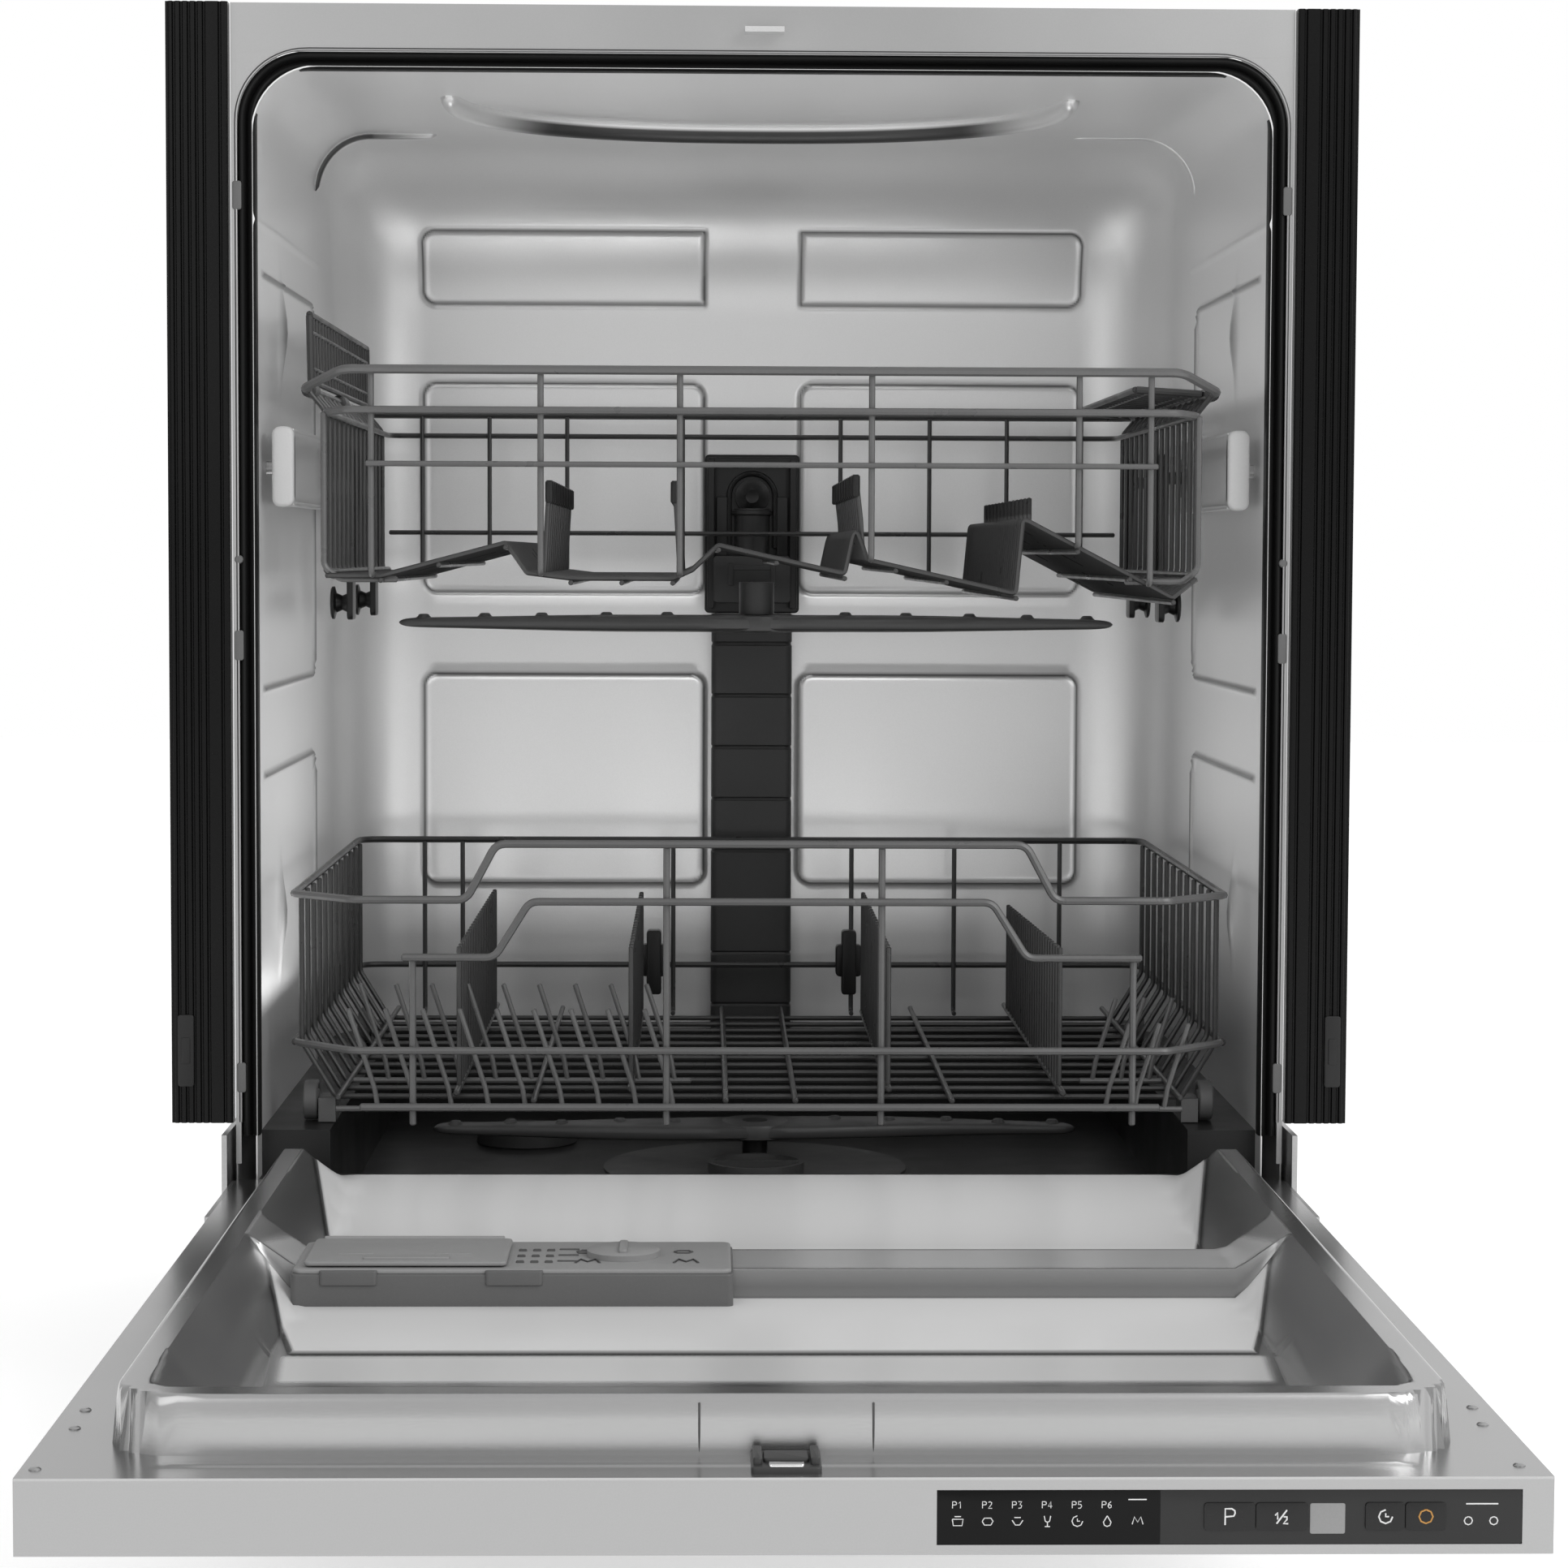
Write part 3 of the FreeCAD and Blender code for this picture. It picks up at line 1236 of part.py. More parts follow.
def make_upper_rack_parts():
    """Cup shelves, hangers with spare spools, rollers in the rails and the feed pipe."""
    make_cup_shelf("cup_shelf_left", -1, True)
    make_cup_shelf("cup_shelf_right", 1, False)
    hangers = []
    rollers = {"upper_rollers_front": (hanger_front, []),
               "upper_rollers_rear": (hanger_rear, [])}
    inner = up_half + rail_wire + gap
    for side in (-1, 1):
        for label, (y, parts) in rollers.items():
            spot = front + y
            plate = block("hanger_plate", span(side, inner, inner + hanger_sheet),
                          (spot - hanger_half, spot + hanger_half), (hanger_low, hanger_high))
            pin_x = span(side, inner, web_inner - gap)
            pin = rod("hanger_pin", "x", (pin_x[0], spot, rail_mid), pin_x[1] - pin_x[0],
                      roller_axle)
            spool_x = span(side, inner, rail_inner)
            spool = rod("hanger_spool", "x", (spool_x[0], spot, hanger_low + spool_radius),
                        spool_x[1] - spool_x[0], spool_radius)
            hangers.append(join("hanger", [plate, pin, spool]))
            tread = span(side, web_inner - gap - roller_width, web_inner - gap)
            disc = rod("rack_roller_disc", "x", (tread[0], spot, rail_mid), roller_width,
                       roller_radius)
            bore = rod("rack_roller_bore", "x", (tread[0], spot, rail_mid), roller_width,
                       roller_axle + fit)
            parts.append(cut("rack_roller", disc, [bore]))
    keep("roller_hangers", group("roller_hangers", hangers))
    for label, (y, parts) in rollers.items():
        keep(label, group(label, parts))
    back = front + tub_depth - dock_thick - gap
    pipe = rod("feed_pipe_rod", "y", (0, arm_centre, feed_level), back - arm_centre,
               feed_radius)
    bore = rod("feed_pipe_bore", "y", (0, arm_centre, feed_level), back - arm_centre,
               feed_bore)
    stub = rod("feed_stub", "z", (0, arm_centre, upper_arm_level),
               feed_level - upper_arm_level, arm_bearing)
    cap = rod("feed_cap", "z", (0, arm_centre, upper_arm_level + arm_thick + gap),
              feed_level + feed_radius + feed_cap_rise - upper_arm_level - arm_thick - gap,
              arm_bearing + sump_wall)
    pipe_solid = join("feed_walls", [pipe, stub, cap])
    keep("spray_feed_pipe", cut("spray_feed_pipe", pipe_solid, [bore]))


# ------------------------------------------------------------------ lower rack
def make_lower_basket():
    """Heavier wire basket on wheels, with a raised grip wire and two fixed tine rows."""
    f = float(front)
    y_front = f + float(low_front)
    y_back = f + float(low_back)
    half_x = float(low_half)
    corner = float(low_corner)
    flat = half_x - corner
    y_join = y_front + corner + 6
    r_wire = float(low_wire) / 2
    r_thin = float(thin_wire) / 2
    step = 0.8 * (r_wire + r_thin)
    grip = float(grip_half)
    rim, raised = float(low_rim), float(low_grip)
    y_turn = y_front + corner

    rim_path = [(-half_x, y_join, rim), (-half_x, y_turn, rim), (-flat, y_front, rim),
                (-grip - 17, y_front, rim), (-grip, y_front, raised), (grip, y_front, raised),
                (grip + 17, y_front, rim), (flat, y_front, rim), (half_x, y_turn, rim),
                (half_x, y_join, rim)]
    second = float(low_second)
    hat = [(-0.76 * half_x, y_front, second), (-grip, y_front, second),
           (-grip + 19, y_front, rim - 1), (grip - 19, y_front, rim - 1),
           (grip, y_front, second), (0.8 * half_x, y_front, second)]
    posts = [-0.737, -0.2, 0.256, 0.79]
    low = float(low_floor)
    front_wires = [
        wire(rim_path, low_wire, 6), wire(hat, low_wire, 6),
        front_rail(float(low_third), flat, half_x, y_turn, y_front, y_join, low_wire),
        wire([(-flat, y_front, low), (flat, y_front, low)], low_wire)]
    for p in posts:
        tall = raised if abs(p * half_x) < grip else rim
        front_wires.append(wire([(p * half_x, y_front + step, low - 11),
                                 (p * half_x, y_front + step, tall)], thin_wire))
    back_wires = [wire([(-half_x, y_back, rim), (half_x, y_back, rim)], low_wire),
                  wire([(-half_x, y_back, float(low_third)), (half_x, y_back, float(low_third))],
                       low_wire),
                  wire([(-flat, y_back, low), (flat, y_back, low)], low_wire)]
    back_wires += [wire([(p * half_x, y_back - step, low - r_thin),
                         (p * half_x, y_back - step, rim)], thin_wire) for p in posts]
    panels = [welded(front_wires), welded(back_wires)]
    stop = y_back - r_wire
    places = spread(y_join + 6, stop - 8, low_pitch)
    foot_x = float(low_foot_x) - 4
    for side in (-1, 1):
        wires = [wire([(side * half_x, y_join, rim), (side * half_x, stop, rim)], low_wire),
                 wire([(side * half_x, y_join, float(low_third)),
                       (side * half_x, stop, float(low_third))], low_wire)]
        inset = side * (half_x - 0.8 * (r_wire + r_thin))
        for y in places:
            wires.append(wire([(inset, y, rim), (inset, y, float(low_bevel)),
                               (side * float(low_foot_x), y, low), (side * foot_x, y, low)],
                              thin_wire, 3))
        panels.append(welded(wires))
    floor_wires = [wire([(-foot_x, y, low), (foot_x, y, low)], thin_wire) for y in places]
    rod_z = low + 0.8 * (r_thin + r_wire)
    lengths = (y_front + r_wire, stop)
    for x in (-float(fixed_tine_x), float(fixed_tine_x)):
        floor_wires.append(wire([(x, lengths[0], rod_z), (x, lengths[1], rod_z)], low_wire))
        for i in range(tine_count):
            y = f + float(tine_start) + i * float(tine_pitch)
            floor_wires.append(wire([(x, y, rod_z), (x, y, float(tine_high))], tine_wire))
    for x in (-float(fold_tine_x), float(fold_tine_x)):
        floor_wires.append(wire([(x - 18, lengths[0], low - 1.6 * r_thin),
                                 (x - 18, lengths[1], low - 1.6 * r_thin)], thin_wire))
    panels.append(welded(floor_wires))
    shaped("lower_rack_basket", Part.makeCompound(panels))


def make_fold_row(label, side):
    """Row of plate tines on a rod that folds flat."""
    f = float(front)
    x = side * float(fold_tine_x)
    z = float(fold_level)
    wires = [wire([(x, f + float(tine_start) - 12, z), (x, f + float(wheel_rear), z)],
                  tine_wire)]
    for i in range(tine_count):
        y = f + float(tine_start) + i * float(tine_pitch)
        wires.append(wire([(x, y, z), (x, y, float(tine_high))], tine_wire))
    shaped(label, welded(wires))


def make_lower_wheels():
    """Wheels under the lower basket, and the holders that carry their axles."""
    holders = []
    for label, y in (("lower_wheels_front", wheel_front), ("lower_wheels_rear", wheel_rear)):
        wheels = []
        for side in (-1, 1):
            spot = front + y
            tread = span(side, wheel_inner, wheel_inner + wheel_width)
            disc = rod("wheel_disc", "x", (tread[0], spot, wheel_level), wheel_width,
                       wheel_radius)
            bore = rod("wheel_bore", "x", (tread[0], spot, wheel_level), wheel_width,
                       wheel_axle + fit)
            wheels.append(cut("wheel", disc, [bore]))
            inner = wheel_inner - gap
            box = block("holder_box", span(side, low_foot_x + gap, inner),
                        (spot - holder_half, spot + holder_half),
                        (ledge_level + 2 * gap, low_floor - thin_wire / 2 - gap))
            pin_x = span(side, low_foot_x + gap, wheel_inner + wheel_width + gap)
            pin = rod("holder_pin", "x", (pin_x[0], spot, wheel_level), pin_x[1] - pin_x[0],
                      wheel_axle)
            holders.append(join("wheel_holder", [box, pin]))
        keep(label, group(label, wheels))
    keep("wheel_holders", group("wheel_holders", holders))


# ------------------------------------------------------------------ build
def build():
    """Make every sub-part in order, from the cabinet outwards."""
    make_front_frame()
    make_case()
    make_side_trims()
    make_tub_wrapper()
    make_tub_back()
    make_gasket()
    make_tub_floor()
    make_sump()
    make_filters()
    make_salt()
    make_base()
    make_feet()
    make_pumps()
    make_insulation()
    make_duct()
    make_rails()
    make_arm("upper_spray_arm", upper_arm_half, upper_arm_level)
    make_arm("lower_spray_arm", lower_arm_half, lower_arm_level)
    make_hinges()
    make_door_shell()
    make_liner()
    make_fascia()
    make_latch()
    make_dispenser()
    make_upper_basket()
    make_upper_rack_parts()
    make_lower_basket()
    make_fold_row("fold_tines_left", -1)
    make_fold_row("fold_tines_right", 1)
    make_lower_wheels()
    doc.recompute()


def check_and_write():
    """Stop on any failed object or bad shape, then write one file for each sub-part."""
    for thing in doc.Objects:
        if "Invalid" in thing.State or "Error" in thing.State:
            raise RuntimeError("%s is in state %s" % (thing.Label, thing.State))
    for label, thing in nodes.items():
        if thing.Shape.isNull() or not thing.Shape.isValid():
            raise RuntimeError("%s has no valid shape" % label)
    os.makedirs("parts", exist_ok=True)
    for label, thing in nodes.items():
        thing.Shape.exportStep("parts/%s.step" % label)
        print(label, len(thing.Shape.Solids), round(thing.Shape.Volume))


build()
check_and_write()
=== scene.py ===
import logging
import math
from dataclasses import dataclass, field
from enum import Enum

import bmesh
import bpy
import numpy as np
from mathutils import Matrix, Vector


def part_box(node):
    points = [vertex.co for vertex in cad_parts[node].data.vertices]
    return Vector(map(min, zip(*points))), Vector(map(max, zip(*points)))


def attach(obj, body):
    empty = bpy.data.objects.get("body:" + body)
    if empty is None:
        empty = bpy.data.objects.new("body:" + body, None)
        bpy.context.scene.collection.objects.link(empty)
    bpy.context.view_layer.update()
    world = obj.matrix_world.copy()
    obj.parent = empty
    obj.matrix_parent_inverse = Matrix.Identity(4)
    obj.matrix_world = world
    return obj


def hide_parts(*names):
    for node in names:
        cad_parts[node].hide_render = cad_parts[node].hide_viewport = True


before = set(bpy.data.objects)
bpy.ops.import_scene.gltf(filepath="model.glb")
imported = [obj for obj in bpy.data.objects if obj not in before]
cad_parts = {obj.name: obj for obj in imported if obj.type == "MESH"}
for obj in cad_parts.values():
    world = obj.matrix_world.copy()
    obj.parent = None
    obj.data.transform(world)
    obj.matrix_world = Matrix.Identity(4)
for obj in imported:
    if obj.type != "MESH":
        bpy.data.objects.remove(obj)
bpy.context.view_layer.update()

LOG = logging.getLogger("dishwasher")
Array = np.ndarray

MM = 0.001
FRONT = 67.5  # cabinet's front plane, from the row's origin, in mm


# ---------------------------------------------------------------- finishes
def node_in(tree: bpy.types.NodeTree, kind: str, **values: object) -> bpy.types.Node:
    """Adds a shader node and sets its properties.

    Args:
        tree: Tree that gets the node.
        kind: Blender's name for the node type.
        values: Properties to set on it.

    Returns:
        The new node.
    """
    node = tree.nodes.new(kind)
    for name, value in values.items():
        setattr(node, name, value)
    return node


def make_grain_and_painted_light_group() -> bpy.types.NodeTree:
    """Builds the group that gives a surface its grain, blotches and fine relief.

    Fine noise on stretched Object coordinates gives the grain. Broad noise gives blotches.
    The colour mixes between two tones by both, roughness follows the blotches, and the
    height is the grain. A piece's own tone attribute paints shade where it is below 0,
    mixing the colour towards black in creases and along beads, and paints light where it
    is above 0, making flat patches more pale and less metallic.

    Returns:
        The node group.
    """
    tree = bpy.data.node_groups.new("surface_grain_and_painted_light", "ShaderNodeTree")
    face = tree.interface
    for name, kind in (("Dark", "NodeSocketColor"), ("Light", "NodeSocketColor"),
                       ("Stretch", "NodeSocketVector"), ("Fine", "NodeSocketFloat"),
                       ("Broad", "NodeSocketFloat"), ("Share", "NodeSocketFloat"),
                       ("Smooth", "NodeSocketFloat"), ("Rough", "NodeSocketFloat"),
                       ("Metal", "NodeSocketFloat")):
        face.new_socket(name, in_out="INPUT", socket_type=kind)
    for name, kind in (("Colour", "NodeSocketColor"), ("Roughness", "NodeSocketFloat"),
                       ("Height", "NodeSocketFloat"), ("Metallic", "NodeSocketFloat")):
        face.new_socket(name, in_out="OUTPUT", socket_type=kind)
    given = node_in(tree, "NodeGroupInput")
    out = node_in(tree, "NodeGroupOutput")
    place = node_in(tree, "ShaderNodeTexCoord")
    stretch = node_in(tree, "ShaderNodeVectorMath", operation="MULTIPLY")
    fine = node_in(tree, "ShaderNodeTexNoise")
    broad = node_in(tree, "ShaderNodeTexNoise")
    fine.inputs["Detail"].default_value = 3.0
    broad.inputs["Detail"].default_value = 4.0
    both = node_in(tree, "ShaderNodeMix", data_type="FLOAT")
    tone = node_in(tree, "ShaderNodeMix", data_type="RGBA")
    rough = node_in(tree, "ShaderNodeMapRange")
    rough.inputs["From Min"].default_value = 0.3
    rough.inputs["From Max"].default_value = 0.7
    link = tree.links.new
    link(place.outputs["Object"], stretch.inputs[0])
    link(given.outputs["Stretch"], stretch.inputs[1])
    link(stretch.outputs[0], fine.inputs["Vector"])
    link(place.outputs["Object"], broad.inputs["Vector"])
    link(given.outputs["Fine"], fine.inputs["Scale"])
    link(given.outputs["Broad"], broad.inputs["Scale"])
    link(given.outputs["Share"], both.inputs[0])
    link(broad.outputs[0], both.inputs[2])
    link(fine.outputs[0], both.inputs[3])
    link(both.outputs[0], tone.inputs[0])
    link(given.outputs["Dark"], tone.inputs[6])
    link(given.outputs["Light"], tone.inputs[7])
    link(broad.outputs[0], rough.inputs["Value"])
    link(given.outputs["Smooth"], rough.inputs["To Min"])
    link(given.outputs["Rough"], rough.inputs["To Max"])
    own = node_in(tree, "ShaderNodeAttribute", attribute_name="tone")
    # Painted shade: below 0 the tone mixes the colour towards near black.
    crease = node_in(tree, "ShaderNodeMapRange")
    crease.inputs["From Max"].default_value = -1.0
    crease.inputs["To Max"].default_value = 0.94
    # Painted light: above 0 the tone mixes the colour towards pale grey and lowers the
    # metallic.
    painted_light_mask = node_in(tree, "ShaderNodeMapRange")
    painted_shade_mix = node_in(tree, "ShaderNodeMix", data_type="RGBA")
    painted_shade_mix.inputs[7].default_value = (0.01, 0.01, 0.01, 1.0)
    painted_light_mix = node_in(tree, "ShaderNodeMix", data_type="RGBA")
    painted_light_mix.inputs[7].default_value = (0.78, 0.78, 0.78, 1.0)
    less = node_in(tree, "ShaderNodeMix", data_type="FLOAT")
    link(own.outputs["Fac"], crease.inputs["Value"])
    link(own.outputs["Fac"], painted_light_mask.inputs["Value"])
    link(crease.outputs[0], painted_shade_mix.inputs[0])
    link(tone.outputs[2], painted_shade_mix.inputs[6])
    link(painted_light_mask.outputs[0], painted_light_mix.inputs[0])
    link(painted_shade_mix.outputs[2], painted_light_mix.inputs[6])
    link(painted_light_mask.outputs[0], less.inputs[0])
    link(given.outputs["Metal"], less.inputs[2])
    link(painted_light_mix.outputs[2], out.inputs["Colour"])
    link(less.outputs[0], out.inputs["Metallic"])
    link(rough.outputs[0], out.inputs["Roughness"])
    link(fine.outputs[0], out.inputs["Height"])
    return tree


GRAIN_AND_PAINTED_LIGHT = make_grain_and_painted_light_group()


@dataclass(frozen=True)
class Finish:
    """One surface finish: two grey tones, how rough it is and the grain on it.

    Tones are linear brightness. Stretch squeezes the grain along an axis, fine and broad
    are cycles per metre, relief is the bump's height in millimetres, shine is how
    strongly it mirrors at 0.5 for common plastic, and pressed says that where the
    piece's tone attribute paints light, the steel is also made less metallic.
    """

    name: str
    slot: str
    dark: float
    light: float
    smooth: float
    rough: float
    metal: float = 0.0
    stretch: tuple[float, float, float] = (1.0, 1.0, 1.0)
    fine: float = 900.0
    broad: float = 14.0
    share: float = 0.5
    relief: float = 0.02
    coat: float = 0.0
    shine: float = 0.5
    pressed: bool = False
    tint: tuple[float, float, float] = (1.0, 1.0, 1.0)

    def material(self) -> bpy.types.Material:
        """Makes the material once, and gives the same one after that."""
        found = bpy.data.materials.get(self.name)
        if found is not None:
            return found
        made = bpy.data.materials.new(self.name)
        made.use_nodes = True
        tree = made.node_tree
        shader = tree.nodes["Principled BSDF"]
        shader.inputs["Metallic"].default_value = self.metal
        shader.inputs["Coat Weight"].default_value = self.coat
        shader.inputs["Coat Roughness"].default_value = 0.06
        shader.inputs["Specular IOR Level"].default_value = self.shine
        grain = node_in(tree, "ShaderNodeGroup", node_tree=GRAIN_AND_PAINTED_LIGHT)
        for socket, tone in (("Dark", self.dark), ("Light", self.light)):
            colour = [tone * share for share in self.tint] + [1.0]
            grain.inputs[socket].default_value = colour
        grain.inputs["Stretch"].default_value = self.stretch
        for socket, value in (("Fine", self.fine), ("Broad", self.broad),
                              ("Share", self.share), ("Smooth", self.smooth),
                              ("Rough", self.rough), ("Metal", self.metal)):
            grain.inputs[socket].default_value = value
        bump = node_in(tree, "ShaderNodeBump")
        bump.inputs["Strength"].default_value = 1.0
        bump.inputs["Distance"].default_value = self.relief * MM
        tree.links.new(grain.outputs["Colour"], shader.inputs["Base Color"])
        tree.links.new(grain.outputs["Roughness"], shader.inputs["Roughness"])
        # Painted light: where the tone attribute paints light, the steel turns less metallic.
        if self.pressed:
            tree.links.new(grain.outputs["Metallic"], shader.inputs["Metallic"])
        tree.links.new(grain.outputs["Height"], bump.inputs["Height"])
        tree.links.new(bump.outputs["Normal"], shader.inputs["Normal"])
        return made


class Look(Enum):
    """The finishes of the dishwasher's parts."""

    TUB = Finish("tub_steel", "satin_steel", 0.66, 0.82, 0.3, 0.4, 0.55, fine=1500,
                 broad=5, share=0.45, relief=0.016, pressed=True)
    DOOR = Finish("door_steel", "satin_steel", 0.4, 0.5, 0.2, 0.28, 0.96, (0.2, 1, 1),
                  fine=1300, broad=4, share=0.3, relief=0.008, pressed=True)
    FACE = Finish("face_steel", "satin_steel", 0.36, 0.44, 0.32, 0.42, 0.9, fine=1500,
                  broad=6, relief=0.01)
    BRIGHT = Finish("bright_steel", "satin_steel", 0.72, 0.85, 0.12, 0.22, 1.0)
    CASE = Finish("zinc_case", "case_steel", 0.35, 0.5, 0.38, 0.55, 1.0, fine=160,
                  broad=25, relief=0.01)
    RUBBER = Finish("seal_rubber", "black_rubber", 0.004, 0.008, 0.35, 0.45, fine=700,
                    shine=0.2)
    TRIM = Finish("trim_black", "black_plastic", 0.002, 0.006, 0.16, 0.26, fine=400,
                  broad=6, relief=0.01, shine=0.14)
    BLACK = Finish("moulded_black", "black_plastic", 0.01, 0.018, 0.3, 0.42, shine=0.3)
    DARK = Finish("moulded_dark_grey", "dark_plastic", 0.03, 0.045, 0.3, 0.42,
                  broad=30, shine=0.35)
    ARM = Finish("arm_grey", "dark_plastic", 0.05, 0.07, 0.32, 0.42, broad=30)
    GREY = Finish("moulded_grey", "grey_plastic", 0.1, 0.13, 0.38, 0.5, broad=30,
                  shine=0.35)
    SOFT_GREY = Finish("moulded_mid_grey", "grey_plastic", 0.24, 0.3, 0.38, 0.5,
                       broad=30, shine=0.35)
    PALE = Finish("moulded_pale", "pale_plastic", 0.5, 0.6, 0.3, 0.42, broad=30)
    WIRE = Finish("coated_wire_grey", "coated_wire", 0.085, 0.125, 0.26, 0.38,
                  fine=600, broad=40)
    # Painted shade: a dimmer copy of the same coated wire, for wires that lie deeper in the
    # baskets.
    WIRE_SHADED = Finish("coated_wire_painted_shade", "coated_wire", 0.03, 0.05, 0.26, 0.38,
                       fine=600, broad=40)
    GLASS = Finish("window_black", "window_gloss", 0.002, 0.004, 0.06, 0.12, fine=60,
                   relief=0.001, shine=0.15)
    GLASS_GREY = Finish("window_grey", "window_gloss", 0.014, 0.02, 0.12, 0.2, fine=60,
                        relief=0.001, shine=0.3)
    KEY = Finish("key_black", "key_plastic", 0.012, 0.018, 0.22, 0.3, broad=60,
                 shine=0.25)
    PRINT = Finish("print_white", "window_gloss", 0.62, 0.75, 0.4, 0.5)
    PRINT_GREY = Finish("print_grey", "window_gloss", 0.2, 0.26, 0.35, 0.45)
    PRINT_DARK = Finish("print_dark", "grey_plastic", 0.04, 0.07, 0.4, 0.5)
    AMBER = Finish("print_amber", "key_plastic", 0.4, 0.55, 0.35, 0.45,
                   tint=(1.0, 0.5, 0.12))
    FELT = Finish("bitumen_felt", "felt_mat", 0.02, 0.05, 0.75, 0.92, fine=420,
                  relief=0.25)
    SPRING = Finish("spring_wire", "spring_steel", 0.35, 0.5, 0.25, 0.38, 1.0)
    PUMP = Finish("cast_metal", "pump_metal", 0.3, 0.42, 0.4, 0.55, 1.0, fine=300,
                  relief=0.05)


# ---------------------------------------------------------------- shapes
def grid_quads(rows: int, cols: int, wrap: bool = False) -> Array:
    """Quads of a grid of points.

    Args:
        rows: Number of rows of points.
        cols: Number of points in a row.
        wrap: Whether each row closes on itself.

    Returns:
        Point numbers, four to a face.
    """
    i, j = np.meshgrid(np.arange(rows - 1), np.arange(cols if wrap else cols - 1),
                       indexing="ij")
    k = (j + 1) % cols
    faces = np.stack([i * cols + j, i * cols + k, (i + 1) * cols + k,
                      (i + 1) * cols + j], axis=-1)
    return faces.reshape(-1, 4)


def unit(vectors: Array) -> Array:
    """Vectors brought to length one."""
    size = np.linalg.norm(vectors, axis=-1, keepdims=True)
    return vectors / np.maximum(size, 1e-12)


def places(low: float, high: float, step: float, lines: tuple[float, ...] = (),
           reach: float = 4.0, close: float = 0.9) -> Array:
    """Positions along a line, closer together beside the lines that are named.

    Args:
        low: First position.
        high: Last position.
        step: Usual distance apart.
        lines: Positions of beads or edges.
        reach: How far each side of a line the close spacing goes.
        close: Distance apart there.

    Returns:
        Positions in rising order.
    """
    count = max(2, int(round((high - low) / step)) + 1)
    near = np.arange(-reach, reach + close / 2, close)
    extra = (np.asarray(lines, float)[:, None] + near).ravel()
    all_of = np.concatenate([np.linspace(low, high, count), extra])
    all_of = np.unique(np.round(all_of[(all_of >= low) & (all_of <= high)], 3))
    gaps = np.diff(all_of, prepend=low - step)
    kept = all_of[gaps > close * 0.45]
    kept[-1] = high
    return kept


def smooth(value: Array, start: float, end: float) -> Array:
    """Smooth rise from 0 at start to 1 at end: three t squared less two t cubed."""
    t = np.clip((value - start) / (end - start), 0.0, 1.0)
    return t * t * (3.0 - 2.0 * t)


def box_distance(u: Array, v: Array, us: tuple[float, float], vs: tuple[float, float],
                 radius: float | Array) -> Array:
    """Signed distance to a rounded rectangle, negative inside it."""
    du = np.abs(u - sum(us) / 2) - (us[1] - us[0]) / 2 + radius
    dv = np.abs(v - sum(vs) / 2) - (vs[1] - vs[0]) / 2 + radius
    outside = np.hypot(np.maximum(du, 0), np.maximum(dv, 0))
    return outside + np.minimum(np.maximum(du, dv), 0) - radius


def bead(distance: Array, width: float, height: float) -> Array:
    """Height of a pressed bead: a bell curve of the distance from its middle line."""
    return height * np.exp(-((distance / width) ** 2))


def rounded(points: Array, bend: float, steps: int = 5) -> Array:
    """Path through corners, each rounded by a parabola that touches both runs.

    Args:
        points: Corners of the path.
        bend: Radius wanted at each corner.
        steps: Points on each rounded corner.

    Returns:
        Points of the rounded path.
    """
    corner = np.asarray(points, float)
    if len(corner) < 3 or bend <= 0:
        return corner
    back, ahead = corner[:-2] - corner[1:-1], corner[2:] - corner[1:-1]
    size = np.minimum(np.linalg.norm(back, axis=1), np.linalg.norm(ahead, axis=1))
    back, ahead = unit(back), unit(ahead)
    half = (math.pi - np.arccos(np.clip((back * ahead).sum(1), -1, 1))) / 2
    reach = np.minimum(bend * np.tan(np.minimum(half, 1.5)), size * 0.45)[:, None]
    t = np.linspace(0, 1, steps)[None, :, None]
    middle = corner[1:-1]
    start, end = middle + back * reach, middle + ahead * reach
    arcs = ((1 - t) ** 2 * start[:, None] + 2 * t * (1 - t) * middle[:, None]
            + t**2 * end[:, None])
    path = np.concatenate([corner[:1], arcs.reshape(-1, corner.shape[1]), corner[-1:]])
    apart = np.linalg.norm(np.diff(path, axis=0), axis=1) > 1e-3
    return path[np.concatenate([[True], apart])]


def outline(us: tuple[float, float], vs: tuple[float, float], radius: float,
            steps: int = 5) -> Array:
    """Corners of a rounded rectangle, anticlockwise."""
    radius = min(radius, (us[1] - us[0]) / 2.01, (vs[1] - vs[0]) / 2.01)
    turn = np.linspace(0, math.pi / 2, steps)
    angles = (turn[None, :] + np.arange(4)[:, None] * math.pi / 2).ravel()
    middle = np.array([[us[1] - radius, vs[1] - radius], [us[0] + radius, vs[1] - radius],
                       [us[0] + radius, vs[0] + radius], [us[1] - radius, vs[0] + radius]])
    return np.repeat(middle, steps, axis=0) + radius * np.stack(
        [np.cos(angles), np.sin(angles)], axis=1)


def inset(line: Array, amount: float) -> Array:
    """Anticlockwise outline moved inwards by an amount, mitred at its corners."""
    before, after = np.roll(line, 1, axis=0), np.roll(line, -1, axis=0)
    first, second = unit(line - before), unit(after - line)
    normal_a = np.stack([-first[:, 1], first[:, 0]], axis=1)
    normal_b = np.stack([-second[:, 1], second[:, 0]], axis=1)
    mitre = normal_a + normal_b
    return line + amount * mitre / np.maximum((mitre**2).sum(1), 0.6)[:, None] * 2


